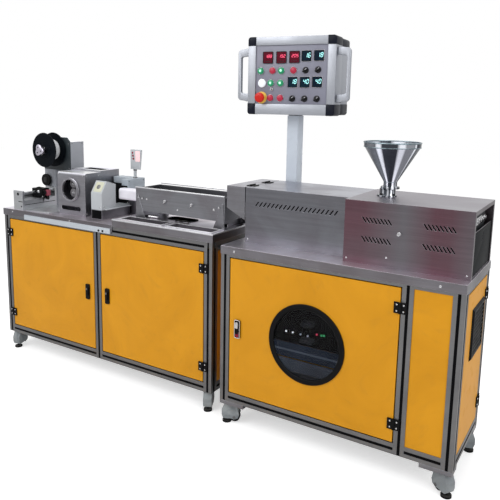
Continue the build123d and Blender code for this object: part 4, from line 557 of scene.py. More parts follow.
# On the metals, top paints light on faces that look up, the second colour's patches are partly painted reflections, and
# the cover's bands and the spun streaks are painted reflections.
ALUMINIUM = Metal("drawn_aluminium", srgb(0x7A7A7B), 0.4, srgb(0x6A6A6C), brush=0.2, stain_and_reflection=0.5)
STAINLESS = Metal("brushed_stainless", srgb(0x88898E), 0.3, srgb(0x706C71), brush=0.5, stain_and_reflection=0.7, edge=0.0025,
                  edge_light=0.8, top=1.0)
HAUL_STEEL = Metal("haul_box_sheet", srgb(0x9E9FA5), 0.3, srgb(0x807D83), brush=0.5, stain_and_reflection=0.7, edge=0.0025,
                   edge_light=0.8, top=2.3)
COVER_METAL = Metal("barrel_cover_sheet", srgb(0x76777D), 0.3, srgb(0x625F64), brush=0.6, stain_and_reflection=0.7, edge=0.0025,
                    edge_light=0.8, top=1.45)
TABLE_STEEL = Metal("table_sheet", srgb(0x807E83), 0.3, srgb(0x625A5D), brush=0.5, stain_and_reflection=0.7, stain_and_reflection_scale=2.5,
                    scratch=0.3, edge=0.003, edge_light=0.9, top=3.0)
COVER_STEEL = Metal("drive_cover_sheet", srgb(0x706E73), 0.28, srgb(0x684952), brush=0.5, stain_and_reflection=0.08, stain_and_reflection_scale=2.4,
                    edge=0.0025, edge_light=0.8, top=0.8, reflection_bands=((0.845, 0.2), (1.19, 0.15)))
PALE_STEEL = Metal("pale_sheet", srgb(0xBABCBF), 0.36, srgb(0xA4A5A8), brush=0.3, stain_and_reflection=0.5)
# Pale rims laid on the trough's, wells' and tray's edges: painted highlight.
HIGHLIGHT_EDGE = Metal("bright_folded_edge", srgb(0xD6D7DB), 0.35, srgb(0xBEBEC4), brush=0.2, stain_and_reflection=0.5, top=0.7)
PORT_STEEL = Metal("port_rim_steel", srgb(0x96959B), 0.3, brush=0.3, stain_and_reflection=0.4, top=0.0)
POLISHED = Metal("polished_steel", srgb(0xC4C4C6), 0.12, brush=0.1, stain_and_reflection=0.2, edge_light=0.2)
HOPPER_STEEL = Metal("spun_steel", srgb(0xE8EBF0), 0.16, srgb(0xCED0D4), brush=0.2, stain_and_reflection=0.3, edge_light=0.3,
                     anisotropic=0.6, top=0.0, reflection_streaks=(0.919, -0.04924, ((-100, 8, 1.0), (-52, 10, 1.0),
                                                                         (-34, 19, 0.27), (-19, 3.5, 0.9),
                                                                         (-120, 17, 0.16), (40, 20, 0.8), (62, 42, 0.3),
                                                                         (95, 18, 1.0), (150, 16, 0.6),
                                                                         (180, 34, 0.25))))
CLAMP_STEEL = Metal("turned_clamp", srgb(0xD6D8DC), 0.14, brush=0.1, stain_and_reflection=0.2, edge_light=0.3, top=0.0,
                    reflection_streaks=(0.919, -0.04924, ((-58, 10, 1.0), (-88, 9, 0.5), (-32, 8, 0.45), (-125, 9, 0.5),
                                              (60, 30, 0.5), (150, 30, 0.4))))
KNOB_STEEL = Metal("knob_steel", srgb(0xCECAD6), 0.3, srgb(0xAAA6B4), brush=0.1, stain_and_reflection=0.6, stain_and_reflection_scale=40.0,
                   edge_light=0.4, top=0.0)
STRIP_ALUMINIUM = Metal("strip_aluminium", srgb(0xD0D7DE), 0.4, srgb(0xC2C9D0), brush=0.2, stain_and_reflection=0.5, top=0.3)
TEAL_STEEL = Metal("rolled_rim", srgb(0x6E8086), 0.2, srgb(0x96A0A6), brush=0.1, stain_and_reflection=0.8, stain_and_reflection_scale=30.0,
                   edge_light=0.2, top=0.0)
BOX_ALUMINIUM = Metal("anodised_frame", srgb(0xA8ABB2), 0.45, srgb(0x9EA1A8), brush=0.15, stain_and_reflection=0.4, top=0.0)
STEEL = Metal("machined_steel", srgb(0x78787A), 0.35, brush=0.4)
PANEL_GREY = Paint("panel_grey", srgb(0x828391), 0.42, srgb(0x7A7987), grain=500.0, coat=0.1)
YELLOW = Paint("yellow_powder_coat", srgb(0xD59416), 0.45, srgb(0xC98A10), streaks=0.12, specular=0.2)
GREY_PAINT = Paint("pale_grey_paint", srgb(0xBCC0C4), 0.42, srgb(0xB0B4B8), streaks=0.1)
POST_PAINT = Paint("post_paint", srgb(0xCCD4DE), 0.4, srgb(0xC2CAD5), streaks=0.08)
WINDER_PAINT = Paint("winder_paint", srgb(0x989BA2), 0.42, srgb(0x8F9299), streaks=0.1)
DARK_PAINT = Paint("dark_paint", srgb(0x2C2E32), 0.45, grime=(0.2, 0.19, 0.17))
WINDER_DARK = Paint("winder_face_paint", srgb(0x2A3236), 0.4, srgb(0x242A2E), grime=(0.2, 0.19, 0.17))
HAUL_PAINT = Paint("haul_case_paint", srgb(0xA6AEB6), 0.42, srgb(0x9AA2AA), streaks=0.1)
# The winder head's top painted white: painted light from above.
TOP_LIGHT_PAINT = Paint("white_cap_paint", srgb(0xF4F5F6), 0.4, grime_amount=0.04)
DARK_SHEET = Paint("dark_end_sheet", srgb(0x1A1C1E), 0.6, grime=(0.2, 0.19, 0.17), specular=0.08)
WELL_DARK = Paint("well_shade", srgb(0x605C63), 0.5, srgb(0x302E32), grime=(0.2, 0.19, 0.17), specular=0.1)
FLOOR_SHEET = Paint("cabinet_floor", srgb(0x969698), 0.5)
CREAM = Paint("cream_plate", srgb(0xCCCCB6), 0.4)
# The parts seen inside the cabinet glow faintly: painted light, as none of them is a lamp.
INSIDE_DARK = Paint("inside_plate", srgb(0x0E0E12), 0.7, srgb(0x08080A), specular=0.05)
INSIDE_FAINT = Paint("inside_modules", srgb(0x3C3E42), 0.6, srgb(0x141618), specular=0.05, glow=0.25)
INSIDE_BLUE = Paint("inside_duct", srgb(0x3E485A), 0.6, srgb(0x2C3442), specular=0.1, glow=0.3)
INSIDE_EDGE = Paint("inside_duct_edge", srgb(0x6E7886), 0.5, srgb(0x545E6C), specular=0.2, glow=0.38)
INSIDE_GREY = Paint("inside_floor", srgb(0x606874), 0.5, srgb(0x545862), specular=0.1, glow=0.32)
BLACK = Plastic("black_fitting", srgb(0x09090B), 0.45, srgb(0x08080A), dust=0.04, specular=0.1)
BLACK_GLOSS = Plastic("black_gloss_plastic", srgb(0x0A0A0C), 0.25, bump=0.05, dust=0.08, specular=0.3)
BOX_CORNER = Plastic("moulded_corner", srgb(0x0E1220), 0.4, srgb(0x0C0E18), dust=0.05, specular=0.15)
SLOT_BLACK = Plastic("slot_cover", srgb(0x050507), 0.6, srgb(0x050507), dust=0.03, specular=0.05)
RUBBER = Plastic("black_rubber", srgb(0x101011), 0.6, dust=0.2)
ROLLER_GREY = Plastic("roller_rubber", srgb(0x767478), 0.55)
NYLON = Plastic("white_nylon", srgb(0x969B9D), 0.45, srgb(0x74797D))
WHITE = Plastic("white_plastic", srgb(0xE8E6EE), 0.4, srgb(0xE2E0E8), dust=0.05)
RED = Plastic("red_button", srgb(0xC82216), 0.3, coat=0.2)
SEAL_RED = Plastic("red_seal", srgb(0x8C1C30), 0.4)
PINK = Plastic("pink_plastic", srgb(0xB05868), 0.35)
PINK_LENS = Lit("tinted_lens", srgb(0xECD0D2), 0.2, srgb(0xECBEC2), strength=0.25)
STOP_YELLOW = Plastic("stop_yellow", srgb(0xF0C45C), 0.35)
SPOOL_BLACK = Plastic("black_spool", srgb(0x04090F), 0.45, srgb(0x03080E), dust=0.03, specular=0.06)
# Black sheets behind the cover slots: painted shade inside the covers.
SLOT_SHADE_BLACK = Plastic("black_lining", srgb(0x080809), 0.8, srgb(0x070708), dust=0.0, specular=0.03)
FILAMENT = Plastic("wound_filament", srgb(0xD6D8DA), 0.35, bump=0.05, dust=0.1)
WINDOW = Glass("smoked_glass", srgb(0xC4C8D0), 0.02)
WINDOW_RED = Paint("red_meter_glass", srgb(0x5C0820), 0.2, srgb(0x380412), bump=0.0, grime_amount=0.0, glow=0.15,
                   specular=0.1)
WINDOW_TEAL = Paint("blue_meter_glass", srgb(0x041424), 0.2, srgb(0x04222E), bump=0.0, grime_amount=0.0, glow=0.15,
                    specular=0.1)
FIGURE_RED = Lit("red_figures", srgb(0xFF5478), 0.4, strength=1.0)
FIGURE_CYAN = Lit("blue_figures", srgb(0xA8F4F4), 0.4, strength=0.85)
LENS_GREEN = Lit("green_lens", srgb(0x0A7E54), 0.3, strength=0.35)
LENS_GLOW = Lit("green_lens_glow", srgb(0xB0F0CE), 0.3, strength=0.6)
LENS_RED = Lit("red_lens", srgb(0xA61638), 0.35, strength=0.15)
LENS_WHITE = Lit("white_lens", srgb(0xE2E6EC), 0.15, strength=0.3)
LAMP_WHITE = Lit("white_signal", srgb(0xFFFFFF), 0.4, strength=1.6)
LAMP_DIM = Lit("dim_signal", srgb(0xC4CEDC), 0.4, strength=0.6)
LAMP_RED = Lit("red_signal", srgb(0xEC3C5C), 0.4, strength=1.4)
LAMP_GREEN = Lit("green_signal", srgb(0x3CC878), 0.4, strength=1.0)

NODE_FINISHES: dict[Finish, tuple[str, ...]] = {
    ALUMINIUM: ("extruder_posts", "extruder_rails", "downstream_posts", "downstream_rails"),
    STRIP_ALUMINIUM: ("front_strip",),
    PALE_STEEL: ("traverse_rail",),
    TABLE_STEEL: ("extruder_table", "flat_table", "tray_table"),
    COVER_STEEL: ("drive_cover",),
    COVER_METAL: ("barrel_cover",),
    HAUL_STEEL: ("puller_housing", "puller_rear_box"),
    STAINLESS: ("die_guard", "cooling_trough", "corner_plates", "gauge_stand"),
    POLISHED: ("spool_spindle",),
    YELLOW: ("extruder_panels", "downstream_panels", "extruder_door", "left_door", "right_door", "end_door"),
    FLOOR_SHEET: ("cabinet_floors",),
    WINDOW: ("window_glass",),
    NYLON: ("caster_bodies",),
    RUBBER: ("caster_wheel_front_left", "caster_wheel_front_right", "caster_wheel_back_left",
             "caster_wheel_back_right", "leveling_pads"),
    GREY_PAINT: ("gauge_housing",),
    POST_PAINT: ("control_post",),
    WINDER_PAINT: ("winder_housing",),
    DARK_PAINT: ("gearbox",),
    STEEL: ("screw_barrel", "cabinet_link"),
    WHITE: ("entry_block",),
    SPOOL_BLACK: ("spool",),
}


def at(x: float, y: float, z: float) -> Vector:
    """A place measured in millimetres as a point of the frame, in metres."""
    return CORNER + Vector((x, y, z)) / 1000


def facing(origin: Point, out: Point) -> Matrix:
    """A place whose Z axis looks along out, with its Y axis upward, or backward where out is upright.

    Args:
        origin: the place's own origin.
        out: the direction of its Z axis.

    Returns:
        the place.
    """
    depth = Vector(out).normalized()
    high = Vector(BACKWARD if abs(depth.z) > 0.99 else UPWARD)
    across = high.cross(depth).normalized()
    turn = Matrix((across, depth.cross(across), depth)).transposed().to_4x4()
    return Matrix.Translation(origin) @ turn


def front_at(x: float, y: float, z: float) -> Matrix:
    """A measured place that looks forward."""
    return facing(at(x, y, z), FRONTWARD)


def right_at(x: float, y: float, z: float) -> Matrix:
    """A measured place that looks to the right."""
    return facing(at(x, y, z), RIGHTWARD)


def top_at(x: float, y: float, z: float) -> Matrix:
    """A measured place that looks up."""
    return facing(at(x, y, z), UPWARD)


def shifted(place: Matrix, x: float, y: float, z: float = 0.0) -> Matrix:
    """A place moved along its own axes."""
    return place @ Matrix.Translation((x, y, z))


def polar(radius: float, angle: float) -> Flat:
    """Point of a circle about the origin."""
    return radius * math.cos(angle), radius * math.sin(angle)


def turns(count: int) -> list[float]:
    """Angles that divide a full turn evenly."""
    return [math.tau * step / count for step in range(count)]


def linked(name: str, data: bpy.types.ID) -> bpy.types.Object:
    """A new object of the scene that shows some data.

    Args:
        name: the object's name.
        data: its mesh, camera or lamp.

    Returns:
        the object.
    """
    item = bpy.data.objects.new(name, data)
    bpy.context.scene.collection.objects.link(item)
    return item


class Form:
    """A mesh put together from bevelled shapes."""

    def __init__(self) -> None:
        """Start an empty mesh."""
        self.mesh = bmesh.new()

    def _take(self, part: bmesh.types.BMesh, place: Matrix | None, bevel: float = 0.0, segments: int = 2) -> "Form":
        """Bevel a shape's sharp edges, move it to its place and add it.

        Args:
            part: the shape, which is used up.
            place: where the shape's own axes lie.
            bevel: width of the bevel on sharp edges.
            segments: steps of the bevel.

        Returns:
            the form itself, so that calls can be chained.
        """
        bmesh.ops.recalc_face_normals(part, faces=part.faces)
        if bevel > 0:
            sharp = [edge for edge in part.edges if len(edge.link_faces) == 2 and edge.calc_face_angle(0.0) > 0.45]
            bmesh.ops.bevel(part, geom=sharp, offset=bevel, offset_type="OFFSET", segments=segments, profile=0.5,
                            affect="EDGES", clamp_overlap=True)
        if place is not None:
            part.transform(place)
        scratch = bpy.data.meshes.new("scratch")
        part.to_mesh(scratch)
        part.free()
        self.mesh.from_mesh(scratch)
        bpy.data.meshes.remove(scratch)
        return self

    @staticmethod
    def _bridge(part: bmesh.types.BMesh, rings: Sequence[list]) -> None:
        """Join each ring of points to the next, where a ring may be a single point.

        Args:
            part: the shape that takes the faces.
            rings: the rings of points, in order.
        """
        for low, high in zip(rings, rings[1:]):
            count = max(len(low), len(high))
            for step in range(count):
                after = (step + 1) % count
                corners = [low[step % len(low)], low[after % len(low)], high[after % len(high)], high[step % len(high)]]
                unique = list(dict.fromkeys(corners))
                if len(unique) > 2:
                    part.faces.new(unique)

    def _turn(self, profile: Sequence[Flat], place: Matrix, steps: int, closed: bool) -> "Form":
        """Turn a profile of (radius, height) about a place's Z axis.

        Args:
            profile: the profile's points.
            place: where the shape's own axes lie.
            steps: sides of the turned shape.
            closed: whether the profile's end joins its start.

        Returns:
            the form itself, so that calls can be chained.
        """
        part = bmesh.new()
        rings = [[part.verts.new((*polar(radius, angle), height)) for angle in (turns(steps) if radius else (0.0,))]
                 for radius, height in profile]
        self._bridge(part, [*rings, rings[0]] if closed else rings)
        return self._take(part, place)

    def box(self, low: Point, high: Point, bevel: float = 0.0, place: Matrix | None = None) -> "Form":
        """Add a box between two corners.

        Args:
            low: corner of the least coordinates.
            high: corner of the greatest coordinates.
            bevel: width of the bevel on sharp edges.
            place: where the shape's own axes lie.

        Returns:
            the form itself, so that calls can be chained.
        """
        part = bmesh.new()
        bmesh.ops.create_cube(part, size=1.0)
        size = [high[i] - low[i] for i in range(3)]
        middle = [(high[i] + low[i]) / 2 for i in range(3)]
        part.transform(Matrix.Translation(middle) @ Matrix.Diagonal((*size, 1.0)))
        return self._take(part, place, bevel)

    def prism(self, outline: Sequence[Flat], start: float, end: float, place: Matrix | None = None, bevel: float = 0.0,
              segments: int = 2) -> "Form":
        """Add a flat outline drawn in a place's XY plane, raised from start to end along its Z.

        Args:
            outline: the outline, counterclockwise.
            start: height of its lower face.
            end: height of its upper face.
            place: where the shape's own axes lie.
            bevel: width of the bevel on sharp edges.
            segments: steps of the bevel.

        Returns:
            the form itself, so that calls can be chained.
        """
        part = bmesh.new()
        rings = [[part.verts.new((x, y, z)) for x, y in outline] for z in (start, end)]
        self._bridge(part, rings)
        part.faces.new(rings[0][::-1])
        part.faces.new(rings[1])
        return self._take(part, place, bevel, segments)

    def ring(self, outline: Sequence[Flat], hole: Sequence[Flat], start: float, end: float, place: Matrix,
             bevel: float = 0.0) -> "Form":
        """Add a plate with a hole, from two outlines of as many points.

        Args:
            outline: the outer outline.
            hole: the hole's outline.
            start: height of its lower face.
            end: height of its upper face.
            place: where the shape's own axes lie.
            bevel: width of the bevel on sharp edges.

        Returns:
            the form itself, so that calls can be chained.
        """
        part = bmesh.new()
        rings = [[part.verts.new((x, y, z)) for x, y in line]
                 for line, z in ((outline, start), (outline, end), (hole, end), (hole, start))]
        self._bridge(part, [*rings, rings[0]])
        return self._take(part, place, bevel)

    def lathe(self, profile: Sequence[Flat], place: Matrix, steps: int = 48) -> "Form":
        """Turn a profile about a place's Z axis, with a flat end where it starts or stops off the axis.

        Args:
            profile: points of (radius, height).
            place: where the shape's own axes lie.
            steps: sides of the turned shape.

        Returns:
            the form itself, so that calls can be chained.
        """
        first = [(0.0, profile[0][1])] if profile[0][0] else []
        last = [(0.0, profile[-1][1])] if profile[-1][0] else []
        return self._turn([*first, *profile, *last], place, steps, closed=False)

    def collar(self, profile: Sequence[Flat], place: Matrix, steps: int = 48) -> "Form":
        """Turn a closed profile that stays off the axis."""
        return self._turn(profile, place, steps, closed=True)

    def bead(self, radius: float, height: float, thick: float, place: Matrix, steps: int = 64) -> "Form":
        """Add a round bead that runs in a circle about a place's Z axis."""
        return self.collar([(radius + thick * math.cos(a), height + thick * math.sin(a)) for a in turns(10)], place,
                           steps)

    def pipe(self, points: Sequence[Point], radius: float, steps: int = 12) -> "Form":
        """Add a round bar along a line of points, closed at its ends.

        Args:
            points: the line's points.
            radius: the bar's radius.
            steps: sides of the bar.

        Returns:
            the form itself, so that calls can be chained.
        """
        part = bmesh.new()
        line = [Vector(point) for point in points]
        rings = []
        side = (line[1] - line[0]).normalized().orthogonal().normalized()
        for index, point in enumerate(line):
            along = (line[min(index + 1, len(line) - 1)] - line[max(index - 1, 0)]).normalized()
            side = (side - along * side.dot(along)).normalized()
            up = along.cross(side)
            rings.append([part.verts.new(point + (side * math.cos(a) + up * math.sin(a)) * radius)
                          for a in turns(steps)])
        self._bridge(part, rings)
        part.faces.new(rings[0][::-1])
        part.faces.new(rings[-1])
        return self._take(part, None)

    def screws(self, radius: float, height: float, places: Iterable[Matrix]) -> "Form":
        """Add domed screw heads with a hex socket, standing on their places' XY planes.

        Args:
            radius: the heads' radius.
            height: the heads' height.
            places: a place for each screw.

        Returns:
            the form itself, so that calls can be chained.
        """
        sunk = -0.0008
        for place in places:
            self.lathe([(radius, sunk), (radius, height * 0.35), (radius * 0.86, height * 0.75),
                        (radius * 0.6, height * 0.95), (radius * 0.45, height), (radius * 0.42, height * 0.3)], place,
                       12)
        return self

    def hex_bolts(self, radius: float, height: float, places: Iterable[Matrix]) -> "Form":
        """Add hexagon heads on their washers.

        Args:
            radius: the heads' radius.
            height: the heads' height.
            places: a place for each bolt.

        Returns:
            the form itself, so that calls can be chained.
        """
        seat, edge = height * 0.25, radius * 1.25
        for place in places:
            self.lathe([(edge, 0.0), (edge, seat)], place, 16)
            self.prism([polar(radius, angle) for angle in turns(6)], seat, height, place, radius * 0.1)
        return self

    def make(self, name: str, finish: Finish, body: str = "base", replaces: Iterable[str] = ()) -> None:
        """Turn the mesh into a dressed piece that rides on a body.

        Args:
            name: the piece's name.
            finish: what it is made of.
            body: the CAD body it moves with.
            replaces: CAD nodes that it stands for.
        """
        mesh = bpy.data.meshes.new(name)
        bmesh.ops.remove_doubles(self.mesh, verts=self.mesh.verts, dist=1e-6)
        self.mesh.to_mesh(mesh)
        self.mesh.free()
        mesh.polygons.foreach_set("use_smooth", [True] * len(mesh.polygons))
        mesh.set_sharp_from_angle(angle=math.radians(32))
        mesh.materials.append(material_of(finish))
        item = linked(name, mesh)
        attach(item, body)
        if replaces:
            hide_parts(*replaces)
        log.info("%s rides on %s, %d faces", name, body, len(mesh.polygons))


def rounded(width: float, height: float, radius: float, steps: int = 5) -> list[Flat]:
    """Outline of a rectangle with rounded corners, about its middle.

    Args:
        width: size along X.
        height: size along Y.
        radius: the corners' radius.
        steps: steps of each corner.

    Returns:
        the outline, counterclockwise.
    """
    points = []
    for corner, (sx, sy) in enumerate(((1, 1), (-1, 1), (-1, -1), (1, -1))):
        for step in range(steps + 1):
            x, y = polar(radius, math.pi / 2 * (corner + step / steps))
            points.append((sx * (width / 2 - radius) + x, sy * (height / 2 - radius) + y))
    return points


def rectangle(width: float, height: float, rise: float = 0.0) -> list[Flat]:
    """Outline of a rectangle, about its middle or a little above."""
    return [(sx * width / 2, rise + sy * height / 2) for sx, sy in ((-1, -1), (1, -1), (1, 1), (-1, 1))]


@dataclass
class BarFrames:
    """Black cover strips in the slots of both bar frames, and the screws in the tables' lips."""

    bar: float = 0.045
    strip: float = 0.0115
    recess: float = -0.0004
    thickness: float = 0.0016
    end_gap: float = 0.001
    tray_start: float = 0.851

    def strips(self, name: str, posts: str, middle: float, lip: float) -> None:
        """Fill the outward slots of one frame.

        Args:
            name: the new piece's name.
            posts: the CAD node of the frame's posts.
            middle: left face of the middle post, from the frame's left side.
            lip: how far the table's lip hangs over the posts' tops.
        """
        low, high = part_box(posts)
        half, side = self.bar / 2, self.strip / 2
        near, far = self.recess, self.recess + self.thickness
        bottom, top = low.z + self.end_gap, high.z - lip - self.end_gap
        row = low.z + half
        form = Form()
        for x in (low.x + half, low.x + middle + half, high.x - half):
            form.box((x - side, low.y + near, bottom), (x + side, low.y + far, top))
        for left, right in ((low.x + self.bar, low.x + middle), (low.x + middle + self.bar, high.x - self.bar)):
            form.box((left, low.y + near, row - side), (right, low.y + far, row + side))
        for x in (low.x + half, high.x - half):
            form.box((x - side, high.y - far, bottom), (x + side, high.y - near, top))
        form.box((low.x + self.bar, high.y - far, row - side), (high.x - self.bar, high.y - near, row + side))
        for left, right in ((low.x + near, low.x + far), (high.x - far, high.x - near)):
            for y in (low.y + half, high.y - half):
                form.box((left, y - side, bottom), (right, y + side, top))
            form.box((left, low.y + self.bar, row - side), (right, high.y - self.bar, row + side))
        form.make(name, SLOT_BLACK)

    def build(self) -> None:
        """Build the strips of both frames and the screws in the tables' lips."""
        self.strips("extruder_slot_strips", "extruder_posts", 0.821, 0.034)
        self.strips("downstream_slot_strips", "downstream_posts", 0.721, 0.028)
        low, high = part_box("downstream_posts")
        row, side, near = high.z - self.bar / 2, self.strip / 2, low.y + self.recess
        tray = Form().box((low.x + self.tray_start, near, row - side),
                          (high.x - self.bar, near + self.thickness, row + side))
        tray.make("tray_rail_slot_strip", SLOT_BLACK)
        bright = Form().screws(0.0058, 0.0032, (front_at(x, -2, 826) for x in (70, 960)))
        bright.screws(0.0045, 0.0026, (front_at(x, 40, 832) for x in (-1480, -1010)))
        bright.make("lip_screws", POLISHED)
        Form().screws(0.0058, 0.0035, (front_at(x, 34, 808) for x in (-790, -762))).make("strip_screws", BLACK)


@dataclass
class DoorFittings:
    """Screws on the door hinges, and the latches' bright and dark parts."""

    leaf: float = 0.0135
    spread: float = 0.0125
    extruder_heights: Flat = (0.245, 0.717)
    downstream_heights: Flat = (0.227, 0.709)

    def hinge_screws(self, form: Form, pin: Vector, along: Vector, out: Point) -> None:
        """Put two screws on the leaf that runs along a direction from its pin."""
        form.screws(0.0038, 0.0024, (facing(pin + along * self.leaf + Vector((0, 0, rise)), out)
                                     for rise in (-self.spread, self.spread)))

    def hinges(self) -> None:
        """Put screws on every door hinge, on the body that each leaf moves with."""
        still = Form()
        places = {joint["name"]: Vector(joint["pos_m"]) for joint in frame["joints"] if joint.get("pos_m")}
        for body, heights, toward_door, out in (("extruder_door", self.extruder_heights, LEFTWARD, FRONTWARD),
                                                ("left_door", self.downstream_heights, RIGHTWARD, FRONTWARD),
                                                ("right_door", self.downstream_heights, LEFTWARD, FRONTWARD),
                                                ("end_door", self.extruder_heights, FRONTWARD, RIGHTWARD)):
            moving = Form()
            for height in heights:
                pin = Vector((*places[f"{body}_hinge"][:2], height))
                self.hinge_screws(moving, pin, Vector(toward_door), out)
                self.hinge_screws(still, pin, -Vector(toward_door), out)
            moving.make(f"{body}_hinge_screws", POLISHED, body)
        still.make("frame_hinge_screws", POLISHED)

    def latches(self) -> None:
        """Finish the latches: a bright swing grip over a red seal on the window door, steel keys on the others."""
        bright = Form().prism(rounded(0.016, 0.028, 0.004), -0.001, 0.0035, front_at(93.5, -13, 497), 0.0012)
        bright.ring(rounded(0.029, 0.084, 0.005), rounded(0.0235, 0.0785, 0.004), -0.001, 0.0012,
                    front_at(93.5, -8, 478))
        bright.make("extruder_door_latch_grip", POLISHED, "extruder_door")
        red = Form().prism(rounded(0.0175, 0.026, 0.003), -0.001, 0.0012, front_at(93.5, -8, 454), 0.0006)
        red.make("extruder_door_latch_seal", SEAL_RED, "extruder_door")
        for body, x in (("left_door", -885.5), ("right_door", -743.5)):
            key = Form().lathe([(0.0055, -0.001), (0.0055, 0.002), (0.0048, 0.0028), (0.002, 0.0028), (0.002, 0.001)],
                               front_at(x, 31, 478), 20)
            key.make(f"{body}_latch_key", STEEL, body)

    def build(self) -> None:
        """Build the screws and latch parts."""
        self.hinges()
        self.latches()


@dataclass
class WindowInside:
    """Round window's black ring, and what shows faintly behind it: a plate with its ducts, modules and lamps, the ducts
    and modules glowing faintly as painted light.
    """

    wall: float = 384.0
    left: float = 66.0
    right: float = 780.0
    module_gap: float = 1.5

    def row(self, form: Form, z: float, first: float, count: int, width: float, height: float) -> None:
        """Add a row of rail-mounted modules with a stepped front.

        Args:
            form: takes the modules.
            z: height of the row's middle.
            first: left side of its first module.
            count: how many modules.
            width: a module's width.
            height: a module's height.
        """
        for index in range(count):
            x = first + index * (width + self.module_gap)
            for inset, near, far, half in ((0, 44, 4, height / 2), (1, 56, 44, height / 5)):
                form.box(at(x + inset, self.wall - near, z - half), at(x + width - inset, self.wall - far, z + half),
                         0.001)

    def build(self) -> None:
        """Build the ring, plate, ducts, modules and lamps."""
        ring = Form().collar([(0.151, 0.0), (0.151, 0.0045), (0.153, 0.0068), (0.1715, 0.0068), (0.174, 0.0045),
                              (0.174, 0.0)], front_at(429, 0, 480), 96)
        ring.make("window_ring", BLACK, "extruder_door", ["window_rim"])
        plate = Form().box(at(self.left, self.wall - 3, 300), at(self.right, self.wall, 770), 0.001)
        plate.make("mounting_plate", INSIDE_DARK)
        modules = Form()
        self.row(modules, 424, 238, 3, 16, 22)
        self.row(modules, 339, 232, 4, 14, 18)
        modules.make("rail_modules", INSIDE_FAINT)
        for name, finish, low, high, depth in (("cable_duct", INSIDE_BLUE, 226, 300, 6),
                                               ("cable_duct_edge", INSIDE_EDGE, 259, 268, 10),
                                               ("inside_sheet", INSIDE_GREY, 112, 216, 20)):
            duct = Form().box(at(self.left, self.wall - 3 - depth, low), at(self.right, self.wall - 2, high), 0.001)
            duct.make(name, finish)
        for name, finish, *spots in (("white_lamps", LAMP_WHITE, (138, 356), (175, 357)),
                                     ("dim_lamps", LAMP_DIM, (218, 356), (257, 356)),
                                     ("red_lamp", LAMP_RED, (305, 374)),
                                     ("green_lamp", LAMP_GREEN, (329, 374), (343, 376))):
            lamps = Form()
            for x, z in spots:
                lamps.lathe([(0.0042, 0), (0.0042, 0.004), (0.003, 0.006), (0, 0.007)], front_at(x, self.wall - 3, z),
                            12)
            lamps.make(name, finish)


@dataclass
class CasterDetails:
    """Ridges of the thumbwheels on the levelling pads, and the casters' axle bolts."""

    ridges: int = 22
    thumbwheel_height: float = 0.058
    axle_end: float = 0.0208
    pad_reach: float = 0.06
    pad_bottom: float = 0.0005

    def build(self) -> None:
        """Ring each thumbwheel with ridges and bolt each axle."""
        ridged, bolts = Form(), Form()
        for x, y in self.pad_centres():
            for angle in turns(self.ridges):
                place = Matrix.Translation((x, y, self.thumbwheel_height)) @ Matrix.Rotation(angle, 4, "Z")
                ridged.box((0.0155, -0.0011, 0.0008), (0.0171, 0.0011, 0.0082), 0.0, place)
        ridged.make("thumbwheel_ridges", RUBBER)
        for joint in frame["joints"]:
            if joint["name"].startswith("caster_wheel"):
                middle, axis = Vector(joint["pos_m"]), Vector(joint["axis"]).normalized()
                bolts.hex_bolts(0.0055, 0.0038, (facing(middle + axis * side * self.axle_end, axis * side)
                                                 for side in (-1, 1)))
        bolts.make("caster_axle_bolts", STEEL)

    def pad_centres(self) -> list[Flat]:
        """Centre of each levelling pad, read from its solids.

        Returns:
            the centres, as (x, y).
        """
        groups: list[list[Vector]] = []
        for point in (vertex.co for vertex in frame["nodes"]["leveling_pads"].data.vertices):
            if point.z > self.pad_bottom:
                continue
            for group in groups:
                if (group[0] - point).length < self.pad_reach:
                    group.append(point)
                    break
            else:
                groups.append([point])
        return [tuple((min(p[i] for p in group) + max(p[i] for p in group)) / 2 for i in (0, 1)) for group in groups]


